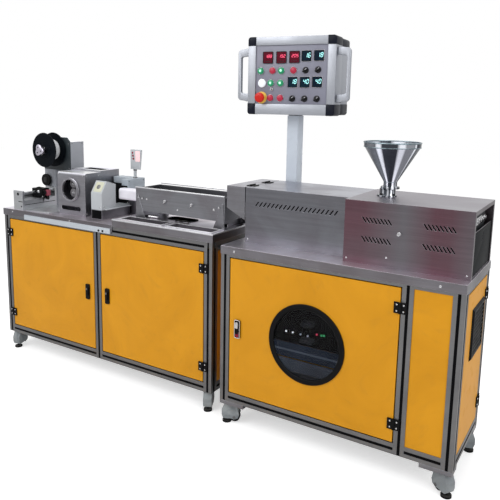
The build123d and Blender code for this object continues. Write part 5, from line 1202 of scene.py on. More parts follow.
@dataclass
class CoverDetails:
    """Knob and screws of the covers, the dark end panel, the gearbox cap and the die's heater band."""

    def covers(self) -> None:
        """Build the knob and screws on the covers' fronts, and black sheets of painted shade behind their slots."""
        knob = Form().lathe([(0.0072, -0.001), (0.0072, 0.001), (0.0045, 0.002), (0.0045, 0.006), (0.0075, 0.0075),
                             (0.0082, 0.0105), (0.0065, 0.0135), (0, 0.0145)], front_at(778, 63, 985), 28)
        knob.screws(0.0042, 0.002, [front_at(731, 63, 885)])
        knob.screws(0.0036, 0.0018, (front_at(x, y, 862) for x, y in ((66, 115), (536, 115), (566, 63), (1036, 63))))
        knob.make("cover_knob_and_screws", POLISHED)
        # Black sheets just behind the slots: painted shade inside the covers.
        slot_shade = Form().box(at(558, 66.2, 850), at(1044, 67.2, 1092)).box(at(57, 118.2, 850), at(545, 119.2, 1090))
        slot_shade.make("cover_lining", SLOT_SHADE_BLACK)

    def drive_end(self) -> None:
        """Build the slotted end panel and the gearbox cap above it."""
        place = right_at(1045, 250, 931)
        end = Form().ring(rectangle(0.362, 0.166), rectangle(0.008, 0.038, 0.047), 0.0, 0.0012, place, 0.0003)
        end.screws(0.0035, 0.002, (shifted(place, x, y, 0.0012) for x in (-0.17, 0.17) for y in (-0.07, 0.065)))
        end.make("drive_end_panel", DARK_SHEET)
        cap = Form().box(at(1026, 140, 1026), at(1032, 360, 1056), 0.002)
        cap.hex_bolts(0.0065, 0.005, (right_at(1032, y, 1041) for y in (160, 205, 250, 295, 340)))
        cap.make("gearbox_cap", POLISHED)

    def die(self) -> None:
        """Build the die's black heater band, its bolts and the bright nozzle tip."""
        axis = facing(at(-11, 250, 975), LEFTWARD)
        band = Form().collar([(0.0405, -0.034), (0.0455, -0.034), (0.047, -0.036), (0.047, -0.078), (0.0455, -0.08),
                              (0.0405, -0.08)], axis)
        band.collar([(0.0125, -0.0298), (0.0375, -0.0298), (0.0395, -0.0315), (0.0395, -0.0325), (0.0125, -0.0325)],
                    axis, 40)
        band.box(at(35, 200, 968), at(66, 208, 982), 0.0015)
        band.make("die_heater_band", BLACK)
        bolts = Form().screws(0.0042, 0.0038, (shifted(axis, *polar(0.029, angle), -0.0298) for angle in turns(6)))
        bolts.collar([(0.0035, 0.0), (0.006, 0.0), (0.0128, -0.007), (0.0128, -0.029), (0.0122, -0.029),
                      (0.0122, -0.008), (0.0035, -0.002)], axis, 32)
        bolts.make("die_bolts_and_nozzle", POLISHED)

    def build(self) -> None:
        """Build the parts on and behind the stainless covers."""
        self.covers()
        self.drive_end()
        self.die()


@dataclass
class Hopper:
    """Spun cone hopper: its deep rim with rolled edges, the cone, the clamp flange and the bolted base."""

    x: float = 669.0
    y: float = 250.0
    rim: float = 0.1155
    neck: float = 0.0275
    sheet: float = 0.0016

    def build(self) -> None:
        """Build the cone, beads, flange, base and bolts."""
        axis = top_at(self.x, self.y, 0)
        rim, neck = self.rim, self.neck
        outer = [(neck, 1.139), (neck, 1.160), (rim - 0.0055, 1.299), (rim - 0.001, 1.303), (rim, 1.322)]
        inner = [(radius - self.sheet, height + 0.0008) for radius, height in outer[::-1]]
        Form().collar(outer + inner, axis, 96).make("hopper_cone", HOPPER_STEEL, "base", ["hopper"])
        rolled = Form().bead(rim - 0.0006, 1.3215, 0.0028, axis, 96).bead(rim - 0.0016, 1.303, 0.0022, axis, 96)
        rolled.bead(neck, 1.1602, 0.0013, axis, 56).make("hopper_rim_bead", TEAL_STEEL)
        clamp = Form().collar([(neck - 0.001, 1.1322), (0.0385, 1.1322), (0.0385, 1.1395), (0.037, 1.141),
                               (neck - 0.001, 1.141)], axis, 64)
        clamp.lathe([(0.0315, 1.1052), (0.0305, 1.1085), (0.0305, 1.1275), (0.0335, 1.1318)],
                    top_at(self.x - 8, self.y, 0), 64)
        clamp.lathe([(0.0405, 1.1), (0.0405, 1.1045), (0.0395, 1.1054)], top_at(self.x - 12, self.y, 0), 64)
        dark = Form()
        for step in range(4):
            angle = math.radians(-113.5 + 90 * step)
            across, deep = polar(32.5, angle)
            clamp.hex_bolts(0.0042, 0.0042, [top_at(self.x + across, self.y + deep, 1141)])
            across, deep = polar(35.5, angle)
            dark.lathe([(0.0052, 0), (0.0052, 0.0065), (0.0044, 0.0075), (0.0024, 0.0075), (0.0024, 0.004)],
                       top_at(self.x - 10 + across, self.y + deep, 1105), 20)
        clamp.make("hopper_clamp", CLAMP_STEEL)
        dark.make("hopper_base_bolts", BLACK)


@dataclass
class ControlBox:
    """Swivelling control box: a bar-edged shell with dark corners, its grey panel, meters, lamps and switches."""

    middle: tuple[float, float, float] = (113.0, 476.0, 1603.5)
    yaw: float = math.radians(6.5)
    width: float = 0.436
    height: float = 0.349
    depth: float = 0.217
    edge: float = 0.041
    sill: float = 0.052
    frame_depth: float = 0.098
    inset: float = 0.003
    recess: float = 0.006
    lean: float = 0.18
    body: str = "control_box"

    RED_METERS = (((-116, 79), "188"), ((-48, 79), "192"), ((17, 80), "205"))
    BLUE_METERS = (((76, 84), "16"), ((136, 85), "18"), ((11, -34), "18"), ((71, -34), "40"), ((131, -33), "40"))
    GREEN = ((-152, 18), (-47, 19), (-99, -38), (-50, -38))
    RED = ((-91, 19), (14, 20), (-100, -107), (-50, -107))
    KNOBS = ((73, 20), (133, 22), (11, -109), (71, -109), (131, -109))
    KEY = (-93, -67)
    LAMP = (-144, -39)
    STOP = (-146, -106)
    SEGMENTS = {"0": "abcdef", "1": "bc", "2": "abged", "4": "fgbc", "5": "afgcd", "6": "afgedc", "8": "abcdefg",
                "9": "abcdfg"}

    def __post_init__(self) -> None:
        """Work out the box's own axes: X across, Y up, Z out of the panel."""
        across = Vector((math.cos(self.yaw), math.sin(self.yaw), 0.0))
        out = Vector((math.sin(self.yaw), -math.cos(self.yaw), 0.0))
        turn = Matrix((across, Vector(UPWARD), out)).transposed().to_4x4()
        self.place = Matrix.Translation(at(*self.middle)) @ turn
        self.front = self.depth / 2
        self.face = self.depth / 2 - self.recess

    def spot(self, place: Point, height: float = 0.0) -> Matrix:
        """A place on the panel, from millimetres off its middle."""
        return shifted(self.place, place[0] / 1000, place[1] / 1000, self.face + height)

    def corner(self, side: float, rise: float, inset: float) -> list[Flat]:
        """Outline of one dark corner bar, rounded on its outside.

        Args:
            side: -1 for the left, 1 for the right.
            rise: -1 for the bottom, 1 for the top.
            inset: how far the bar stands inside the front frame.

        Returns:
            the outline, counterclockwise.
        """
        low = rise < 0
        x, radius, arm, step_in = self.width / 2 - inset, 0.014, self.edge, 0.008
        y = self.height / 2 + (self.sill - self.edge if low else 0.0) - inset
        drop = self.sill if low else self.edge
        arc = [(x - radius + across, y - radius + up)
               for across, up in (polar(radius, math.pi / 2 * step / 6) for step in range(7))]
        points = [(x, y - drop), *arc, (x - arm, y), (x - arm, y - drop + step_in), (x - arm + step_in, y - drop)]
        outline = [(side * px, rise * py) for px, py in points]
        return outline if side * rise > 0 else outline[::-1]

    def shell(self) -> None:
        """Build the front frame, the slightly smaller housing behind it, the dark corners and the swivel's washer."""
        bars, corners = Form(), Form()
        seam = self.front - self.frame_depth
        half_w, half_h, edge = self.width / 2, self.height / 2, self.edge
        foot = half_h + self.sill - edge
        for start, end, inset in ((seam + 0.0015, self.front, 0.0), (-self.front, seam, self.inset)):
            for side in (-1, 1):
                for rise in (-1, 1):
                    corners.prism(self.corner(side, rise, inset), start, end, self.place, 0.0022)
                low, high = sorted((side * (half_w - 0.0012 - inset), side * (half_w - edge + 0.001)))
                bars.box((low, -foot + self.sill - 0.0005, start), (high, half_h - edge + 0.0005, end - 0.0006), 0.0018,
                         self.place)
            wide = half_w - edge + 0.0005
            for low, high in ((half_h - edge + 0.001, half_h - 0.0012 - inset),
                              (-foot + 0.0012 + inset, -foot + self.sill - 0.001)):
                bars.box((-wide, low, start), (wide, high, end - 0.0006), 0.0018, self.place)
        bars.box((-half_w + edge, -half_h + edge, -self.front + 0.001),
                 (half_w - edge, half_h - edge, -self.front + 0.005), 0.001, self.place)
        bars.box((-half_w + 0.01, -foot + 0.01, seam - 0.004), (half_w - 0.01, half_h - 0.01, seam + 0.006), 0.0,
                 self.place)
        bars.make("box_frame", BOX_ALUMINIUM, self.body, ["control_box"])
        about = Matrix.Rotation(math.pi, 4, "X")
        corners.screws(0.0042, 0.0015, (shifted(self.place, side * 0.2, rise * 0.156, -self.front) @ about
                                        for side in (-1, 1) for rise in (-1, 1)))
        corners.make("box_corners", BOX_CORNER, self.body)
        panel = Form().prism(rounded(self.width - 2 * edge + 0.001, self.height - 2 * edge + 0.001, 0.002),
                             self.face - 0.004, self.face, self.place, 0.0004)
        panel.make("box_panel", PANEL_GREY, self.body)
        washer = Form().lathe([(0.033, 0.0003), (0.034, 0.001), (0.034, 0.0045)], top_at(104, 476, 1415))
        washer.make("swivel_washer", DARK_PAINT, self.body)

    def digit(self, form: Form, figure: str, place: Matrix, width: float, height: float, stroke: float) -> None:
        """Draw one seven-segment figure, leaning a little to the right.

        Args:
            form: takes the figure's bars.
            figure: one of the keys of SEGMENTS.
            place: where the shape's own axes lie.
            width: the figure's width.
            height: the figure's height.
            stroke: the bars' thickness.
        """
        x, y, gap, half = width / 2, height / 2, stroke * 0.35, stroke / 2
        bars = {"a": ((-x, y), (x, y)), "g": ((-x, 0), (x, 0)), "d": ((-x, -y), (x, -y)), "f": ((-x, 0), (-x, y)),
                "e": ((-x, -y), (-x, 0)), "b": ((x, 0), (x, y)), "c": ((x, -y), (x, 0))}
        for name in self.SEGMENTS[figure]:
            (x0, y0), (x1, y1) = bars[name]
            across, up = (-gap, half) if y0 == y1 else (half, -gap)
            outline = [(x0 - across, y0 - up), (x1 + across, y0 - up), (x1 + across, y1 + up), (x0 - across, y1 + up)]
            form.prism([(px + py * self.lean, py) for px, py in outline], 0.0, 0.0005, place)

    def meter_row(self, bezels: Form, rims: Form, warm: bool) -> tuple[Form, Form]:
        """Build the red or the blue meters.

        Args:
            bezels: takes the black bezels and the red meters' keys.
            rims: takes the blue meters' pale rims.
            warm: whether it is the red ones.

        Returns:
            The windows and the figures.
        """
        windows, figures = Form(), Form()
        across, tall = (0.051, 0.055) if warm else (0.0475, 0.049)
        wide, high, stroke = (0.0078, 0.0125, 0.0016) if warm else (0.0092, 0.019, 0.0025)
        off, up = (0.003, 0.006) if warm else (0.006, 0.003)
        for spot, reading in self.RED_METERS if warm else self.BLUE_METERS:
            place = self.spot(spot)
            bezels.ring(rounded(across, tall, 0.004), rounded(across - 0.005, tall - 0.005, 0.002), -0.001, 0.005,
                        place, 0.0008)
            windows.prism(rounded(across - 0.0045, tall - 0.0045, 0.002), 0.0, 0.0028, place)
            for order, figure in enumerate(reading):
                shift = (order - (len(reading) - 1) / 2) * (wide + stroke * 2.4) + off
                self.digit(figures, figure, shifted(place, shift, up, 0.0028), wide, high, stroke)
            if warm:
                for step in range(4):
                    left = step * 0.008
                    bezels.box((-0.015 + left, -0.0195, 0.0022), (-0.010 + left, -0.0155, 0.0038), 0.0006, place)
            else:
                rims.ring(rounded(across + 0.002, tall + 0.002, 0.005), rounded(across, tall, 0.004), -0.001, 0.0016,
                          place)
        return windows, figures

    def meters(self) -> None:
        """Build the meters: bezels, display windows and figures."""
        bezels, rims = Form(), Form()
        red_windows, red_figures = self.meter_row(bezels, rims, warm=True)
        blue_windows, blue_figures = self.meter_row(bezels, rims, warm=False)
        bezels.make("meter_bezels", BLACK_GLOSS, self.body, ["panel_meters"])
        rims.make("meter_rims", WHITE, self.body)
        red_windows.make("red_meter_windows", WINDOW_RED, self.body)
        blue_windows.make("blue_meter_windows", WINDOW_TEAL, self.body)
        red_figures.make("red_figures", FIGURE_RED, self.body)
        blue_figures.make("blue_figures", FIGURE_CYAN, self.body)

    def buttons(self) -> None:
        """Build the lamp buttons, selector knobs and key switch."""
        rings, knobs, marks, hot = Form(), Form(), Form(), Form()
        ring = [(0.0155, 0.0), (0.0175, 0.0), (0.0175, 0.002), (0.0168, 0.0032), (0.0158, 0.0032), (0.0155, 0.002)]
        cap = [(0.0156, 0.0), (0.0156, 0.0056), (0.0145, 0.0085), (0.009, 0.0104), (0, 0.011)]
        for name, finish, spots in (("green", LENS_GREEN, self.GREEN), ("red", LENS_RED, self.RED)):
            caps = Form()
            for spot in spots:
                rings.collar(ring, self.spot(spot), 32)
                caps.lathe(cap, self.spot(spot), 28)
            caps.make(f"{name}_buttons", finish, self.body)
        for spot in self.GREEN:
            hot.lathe([(0.0068, 0.0), (0.0048, 0.0009), (0, 0.0013)], self.spot(spot, 0.0102), 20)
        hot.make("button_glow", LENS_GLOW, self.body)
        rings.collar([(radius * 1.22, height) for radius, height in ring], self.spot(self.LAMP), 36)
        lamp = Form().lathe([(radius * 1.24, height) for radius, height in cap], self.spot(self.LAMP), 36)
        lamp.make("white_lamp", LENS_WHITE, self.body)
        for spot in self.KNOBS:
            place = self.spot(spot)
            knobs.collar([(0.0125, 0.0), (0.015, 0.0), (0.015, 0.0018), (0.0132, 0.0028), (0.0125, 0.0028)], place, 32)
            knobs.lathe([(0.0128, 0.0), (0.0128, 0.006), (0.0118, 0.008)], place, 32)
            turned = place @ Matrix.Rotation(math.radians(-50), 4, "Z")
            knobs.prism(rounded(0.0085, 0.027, 0.003), 0.006, 0.018, turned, 0.0016)
            marks.box((-0.0008, 0.004, 0.0178), (0.0008, 0.0125, 0.0184), 0.0, turned)
        key = self.spot(self.KEY)
        rings.lathe([(0.0078, 0.0), (0.0078, 0.004), (0.0062, 0.0062)], key, 28)
        knobs.box((-0.0012, -0.0046, 0.006), (0.0012, 0.0046, 0.0085), 0.0004, key @ Matrix.Rotation(0.5, 4, "Z"))
        marks.box((-0.0062, -0.004, 0.0), (-0.004, 0.007, 0.009), 0.0005, key)
        rings.make("button_rings", POLISHED, self.body)
        knobs.make("selector_knobs", BLACK_GLOSS, self.body, ["panel_buttons"])
        marks.make("knob_marks", WHITE, self.body)

    def stop(self) -> None:
        """Build the mushroom stop on its yellow ring."""
        place = self.spot(self.STOP)
        ring = Form().collar([(0.0125, 0.0), (0.0265, 0.0), (0.028, 0.001), (0.028, 0.0024), (0.0265, 0.003),
                              (0.0125, 0.003)], place)
        ring.lathe([(0.0155, 0.003), (0.0155, 0.0155), (0.0135, 0.0165)], place, 36)
        ring.make("stop_ring", STOP_YELLOW, self.body)
        head = Form().lathe([(0.0125, 0.0165), (0.0125, 0.0195), (0.0215, 0.0205), (0.0235, 0.0225), (0.0235, 0.0285),
                             (0.022, 0.032), (0.0165, 0.0345), (0.009, 0.0355), (0, 0.0358)], place)
        for angle in turns(3):
            head.prism([(0.0072, -0.0014), (0.0135, -0.0032), (0.0158, 0.0), (0.0135, 0.0032), (0.0072, 0.0014)], 0.033,
                       0.0352, place @ Matrix.Rotation(angle + 0.4, 4, "Z"), 0.0003)
        head.make("stop_head", RED, self.body, ["emergency_stop"])

    def handles(self) -> None:
        """Build the two side handles with their screwed feet."""
        form, screws = Form(), Form()
        span, reach, foot, slope, bar, wide, ahead = 0.125, 0.0605, 0.036, 0.01, 0.0165, 0.02, 0.08
        half = [(0.0, span), (reach - slope, span - slope * 0.6), (reach - 0.003, span - 1.3 * slope),
                (reach, span - 2 * slope)]
        inner = [(reach - bar, span - foot - slope), (reach - bar - 0.004, span - foot - slope * 0.4),
                 (0.0, span - foot)]
        outline = half + [(x, -y) for x, y in reversed(half)] + [(x, -y) for x, y in reversed(inner)] + inner
        for side in (-1, 1):
            root = shifted(self.place, side * self.width / 2, 0.0, ahead - wide / 2)
            if side < 0:
                root = shifted(root @ Matrix.Rotation(math.pi, 4, "Y"), 0.0, 0.0, -wide)
            form.prism(outline, 0.0, wide, root, 0.0025, 3)
            for rise in (-1, 1):
                screw = shifted(root, 0.018, rise * (span - 0.0024), wide / 2)
                screws.screws(0.0042, 0.0022, [screw @ Matrix.Rotation(-rise * math.pi / 2, 4, "X")])
        form.make("box_handles_shaped", BOX_ALUMINIUM, self.body, ["box_handles"])
        screws.make("handle_screws", STEEL, self.body)

    def build(self) -> None:
        """Build the whole box."""
        self.shell()
        self.meters()
        self.buttons()
        self.stop()
        self.handles()


@dataclass
class TroughDetails:
    """Pale rims of the trough and wells as painted highlight, painted shade inside the wells, the bolts, the drain's
    rubber lip and the pipes under it.
    """

    wall: float = 155.0
    well_depth: float = 0.076
    wells: tuple[Flat, ...] = ((-674, -407), (-367, -108))

    def rims(self) -> None:
        """Build the pale rims of the trough, wells and tray as painted highlight on their edges, and the painted shade
        inside the wells.
        """
        # Pale rims on the edges: painted highlight.
        rims, well_shading = Form().box(at(-640, 150.5, 1032.5), at(-88, 157, 1038.2), 0.0012), Form()
        for left, right in self.wells:
            middle = top_at((left + right) / 2, 110, 877)
            wide, deep = (right - left) / 1000, self.well_depth
            rims.ring(rounded(wide + 0.02, deep + 0.018, 0.003), rounded(wide - 0.001, deep - 0.001, 0.002), -0.0006,
                      0.0014, middle, 0.0004)
            wide, deep = wide - 0.0006, deep - 0.0006
            # Dark sheets lining each well: painted shade.
            well_shading.ring(rounded(wide, deep, 0.002), rounded(wide - 0.002, deep - 0.002, 0.001), -0.0248, -0.0012, middle)
            well_shading.box((-wide / 2 + 0.001, -deep / 2 + 0.001, -0.0255), (wide / 2 - 0.001, deep / 2 - 0.001, -0.0245),
                      0.0, middle)
        rims.box(at(-640, 353, 1033), at(-88, 359.2, 1038.2), 0.0012)
        rims.box(at(-701.5, 39.2, 871), at(-76, 44, 877.8), 0.0006)
        rims.box(at(-81, 40, 871), at(-75.2, 484.5, 877.8), 0.0006).make("bright_rims", HIGHLIGHT_EDGE)
        well_shading.make("well_liners", WELL_DARK)

    def bolts(self) -> None:
        """Build the bolts of the trough's front and feet, two of them with a wire latch."""
        bolts = Form()
        for x, y, z, radius in ((-620, 152, 983, 4.2), (-596, 152, 980, 4.2), (-567, self.wall, 978, 4.2),
                                (-451, self.wall, 977, 6.5), (-284, self.wall, 976, 6.5), (-151, self.wall, 967, 5.0),
                                (-120, 152, 980, 4.2), (-369, self.wall, 942, 4.2)):
            bolts.hex_bolts(radius / 1000, radius * 0.7 / 1000, [front_at(x, y, z)])
        for x in (-451, -284):
            bolts.pipe([at(x - 4, self.wall, 968), at(x - 4, self.wall - 7, 966), at(x + 7, self.wall - 9, 975),
                        at(x + 12, self.wall - 8, 982)], 0.0022, 8)
        bolts.hex_bolts(0.004, 0.003, (top_at(x, y, 881) for x in (-606, -150) for y in (172, 328)))
        bolts.make("trough_bolts", POLISHED)

    def drain(self) -> None:
        """Build the drain's rubber lip and the short pipes beside it."""
        lip = Form().ring(rounded(0.176, 0.08, 0.036, 8), rounded(0.164, 0.068, 0.03, 8), -0.002, 0.003,
                          top_at(-409, 250, 877), 0.001)
        for x, turn in ((-392, 0.4), (-352, -0.5)):
            lip.pipe([at(x - 22, 196 + turn * 6, 881), at(x - 6, 190, 884), at(x + 12, 188 - turn * 8, 883),
                      at(x + 26, 194, 881)], 0.0042, 10)
        lip.make("drain_lip", RUBBER)
        pipes = Form().pipe([at(-612, 172, 884), at(-596, 174, 885), at(-560, 182, 886), at(-522, 188, 885)], 0.0058,
                            16)
        for end, radius in ((-118, 0.0085), (-84, 0.0105)):
            pipes.pipe([at(-90, 182, 893), at(end, 182, 893)], radius, 20)
        pipes.make("drain_pipes", POLISHED)

    def build(self) -> None:
        """Build the rims, bolts, lip and pipes."""
        self.rims()
        self.bolts()
        self.drain()


@dataclass
class MeasuringGear:
    """Plate, dial and ledge of the gauge, the display on its stem and the drive case behind them."""

    stem: float = 0.0086

    def gauge(self) -> None:
        """Build the plate, dial, screws and ledge of the gauge, and a black plate of painted shade on its stand."""
        slope = facing(at(-878, 130, 1017), (0.0, -62.0, 40.0))
        Form().prism(rounded(0.058, 0.058, 0.003), -0.0004, 0.0012, slope, 0.0005).make("gauge_plate", CREAM)
        dial = Form().lathe([(0.0125, 0.001), (0.0125, 0.0022), (0.0112, 0.0028)], slope, 28)
        dial.box((-0.001, 0.002, 0.0026), (0.001, 0.010, 0.0032), 0.0, slope).make("gauge_dial", STEEL)
        corners = (-0.024, 0.024)
        screws = Form().screws(0.0022, 0.001, (shifted(slope, x, y, 0.0012) for x in corners for y in corners))
        screws.screws(0.0034, 0.002, [front_at(-854, 110, 909), right_at(-839, 128, 914), right_at(-839, 305, 914)])
        screws.make("gauge_screws", POLISHED)
        ledge = Form().box(at(-839.5, 126, 897), at(-822, 318, 901), 0.001)
        ledge.box(at(-839.5, 126, 901), at(-837.5, 318, 911), 0.0006).make("gauge_ledge", GREY_PAINT)
        # Black plate on the stand's front under the gauge: painted shade.
        recess = Form().prism(rounded(0.070, 0.045, 0.001), -0.0002, 0.0008, front_at(-878, 110, 871))
        recess.make("gauge_stand_recess", SLOT_BLACK)

    def display(self) -> None:
        """Build the wedge-shaped display on its stem, with its lens and lamps."""
        case = Form().prism([(0.336, 1.099), (0.342, 1.099), (0.355, 1.2045), (0.353, 1.2075), (0.336, 1.2075)], -0.842,
                            -0.771, right_at(0, 0, 0), 0.0015)
        case.pipe([at(-816, 345, 1050), at(-816, 345, 1101)], 0.0085, 20)
        case.make("display_case", GREY_PAINT, "base", ["display_box"])
        face = front_at(-806, 336, 1153)
        lens = Form().prism(rounded(0.033, 0.058, 0.003), -0.0005, 0.0018, shifted(face, 0.018, 0.0185), 0.0006)
        lens.make("display_lens", PINK_LENS)
        dots = Form()
        for across, rise in ((-0.019, 0.037), (-0.0165, 0.021), (-0.014, 0.005)):
            dots.lathe([(0.0058, -0.0005), (0.0058, 0.0012), (0.0042, 0.002), (0, 0.0022)], shifted(face, across, rise),
                       16)
        dots.make("display_lamps", SEAL_RED)
        nut, stem = top_at(-816, 345, 1050), self.stem
        collar = Form().collar([(stem, 0.0), (0.0125, 0.0), (0.0125, 0.004), (0.0112, 0.0055), (stem, 0.0055)], nut, 24)
        collar.collar([(stem, 0.041), (0.0098, 0.041), (0.0098, 0.049), (stem, 0.049)], nut, 24)
        collar.make("display_collar", STEEL)

    def haul_box(self) -> None:
        """Build the pale drive case behind the gauge, with the body that carries it, its black standing as painted
        shade beneath the case.
        """
        case = Form().box(at(-836, 257, 1016), at(-790, 395, 1050), 0.0015)
        case.box(at(-962, 326, 1016), at(-836.5, 395, 1050), 0.0015)
        case.box(at(-794, 257.5, 988), at(-790.2, 394.5, 1017), 0.0008).make("haul_drive_case", HAUL_PAINT)
        # The body's black stands as painted shade in the gap beneath the case.
        body = Form().box(at(-964, 328, 846), at(-856, 391, 1016.5), 0.002)
        body.make("haul_drive_body", BLACK, "base", ["haul_drive_box"])
        Form().box(at(-856.5, 330, 846), at(-800, 389, 1016.5), 0.002).make("haul_drive_stand", STAINLESS)
        screws = Form().screws(0.0034, 0.002, (right_at(-790.2, y, z) for y in (268, 384) for z in (998, 1040)))
        screws.make("haul_box_screws", STEEL)

    def build(self) -> None:
        """Build the gauge, the display and the drive case."""
        self.gauge()
        self.display()
        self.haul_box()


@dataclass
class PullerDetails:
    """Rollers in the haul-off's port, the port's pale ring and the case's screws."""

    x: float = -1085.0
    z: float = 985.0
    roller_rise: float = 25.5
    screw_circle: float = 60.5

    def build(self) -> None:
        """Build the rollers, ring and screws."""
        rollers, hubs = Form(), Form()
        for rise in (-self.roller_rise, self.roller_rise):
            place = front_at(self.x - 14, 152, self.z + rise + 4)
            rollers.collar([(0.008, 0.0), (0.0225, 0.0), (0.0242, -0.0018), (0.0242, -0.053), (0.0225, -0.055),
                            (0.008, -0.055)], place, 40)
            hubs.lathe([(0.0046, 0.006), (0.0055, 0.005), (0.0055, 0.001), (0.0095, 0.001), (0.0095, -0.002),
                        (0.0065, -0.002), (0.0065, -0.08)], place, 28)
        rollers.make("haul_rollers", ROLLER_GREY)
        for angle in (0.6, 2.2, 3.9, 5.4):
            across, rise = polar(self.screw_circle, angle)
            hubs.screws(0.0026, 0.0012, [front_at(self.x + across, 109.6, self.z + rise)])
        hubs.make("haul_roller_hubs", POLISHED)
        ring = Form().collar([(0.0562, -0.004), (0.0562, 0.0002), (0.0572, 0.0008), (0.0642, 0.0008), (0.0652, 0.0),
                              (0.0652, -0.004)], front_at(self.x, 110, self.z), 72)
        ring.make("port_ring", PORT_STEEL)
        screws = Form().screws(0.0032, 0.0018, (front_at(x, 115, z) for x in (-1174, -982) for z in (858, 1068)))
        screws.screws(0.0032, 0.0018, (right_at(-972, y, z) for y in (130, 223) for z in (862, 1064)))
        screws.make("haul_case_screws", POLISHED)


@dataclass
class WinderDetails:
    """Dark face of the winder's head and its top painted pale as light from above, the spool's beads, filament and
    knob, and the pulley's cap.
    """

    left: float = -1499.0
    right: float = -1270.0
    bottom: float = 1059.0
    top: float = 1254.0
    chamfer: float = 25.0
    over: float = 1.4
    under: float = 0.8
    filament_radius: float = 0.0575
    filament_turns: int = 34
    filament_pitch: float = 0.00188

    def head(self) -> None:
        """Build the head's face, a pale shell over its top and chamfers that stands as painted light from above, and
        its screws.
        """
        left, right, bottom, top, cut = self.left, self.right, self.bottom, self.top, self.chamfer
        over, under = self.over, self.under
        face = [(left, bottom), (right, bottom), (right, top - cut), (right - cut, top), (left + cut, top),
                (left, top - cut)]
        fold = [(left - 1, top - cut), (left + cut - 0.6, top + over), (right - cut + 0.6, top + over),
                (right + 1, top - cut), (right - under, top - cut), (right - cut - 0.4, top - under),
                (left + cut + 0.4, top - under), (left + under, top - cut)]
        face, fold = ([(x / 1000, z / 1000) for x, z in outline] for outline in (face, fold))
        Form().prism(face, -0.0004, 0.0016, front_at(0, 296, 0), 0.0005).make("winder_face", WINDER_DARK)
        # Pale shell over the top and chamfers: painted light from above.
        Form().prism(fold, 0.0, 0.097, front_at(0, 395, 0), 0.0004).make("winder_cap", TOP_LIGHT_PAINT)
        screws = Form().screws(0.0034, 0.0018,
                               (front_at(x, 294.4, z) for x, z in ((-1484, 1074), (-1285, 1074), (-1285, 1218),
                                                                   (-1484, 1218))))
        screws.screws(0.0034, 0.0018, (right_at(self.right, y, z) for z in (1074, 1220) for y in (308, 384)))
        screws.make("winder_screws", STEEL)

    def spool(self) -> None:
        """Build the flange beads, the wound filament's turns and the knob that holds the spool."""
        axis, half, beads = front_at(-1402, 250, 1180), 0.036, Form()
        for side in (-1, 1):
            beads.bead(0.0986, side * (half - 0.002), 0.0021, axis, 80)
            beads.bead(0.052, side * (half + 0.0003), 0.0012, axis, 56)
        beads.make("spool_beads", SPOOL_BLACK, "spool")
        core, start, radius, pitch = 0.041, -0.032, self.filament_radius, self.filament_pitch
        end = start + self.filament_turns * pitch
        ridges = [(radius + rise * 0.0008, start + (turn + share) * pitch) for turn in range(self.filament_turns)
                  for share, rise in ((0.0, 0.0), (0.25, 0.7), (0.5, 1.0), (0.75, 0.7))]
        wound = Form().collar([(core, start), *ridges, (radius, end), (core, end)], axis, 96)
        wound.make("filament_turns", FILAMENT, "spool", ["wound_filament"])
        outline = [polar(0.030 + 0.0055 * math.cos(3 * angle + 0.6), angle) for angle in turns(60)]
        Form().prism(outline, 0.0575, 0.0745, axis, 0.004).make("spool_knob", KNOB_STEEL)
        screws = Form().screws(0.0036, 0.0022, (shifted(axis, *polar(0.018, angle - 0.2), 0.0745)
                                                for angle in turns(3)))
        screws.make("spool_hub_screws", BLACK)

    def pulley(self) -> None:
        """Bead the guide pulley's edge and cap its middle."""
        axis = front_at(-1470, 274, 995)
        cap = Form().bead(0.0342, -0.002, 0.0009, axis, 56)
        cap.lathe([(0.016, -0.0005), (0.016, 0.0014), (0.0145, 0.0022), (0.006, 0.0022), (0.006, 0.001)], axis, 32)
        cap.make("pulley_cap", BLACK_GLOSS, "guide_pulley")

    def build(self) -> None:
        """Build the winder's parts."""
        self.head()
        self.spool()
        self.pulley()


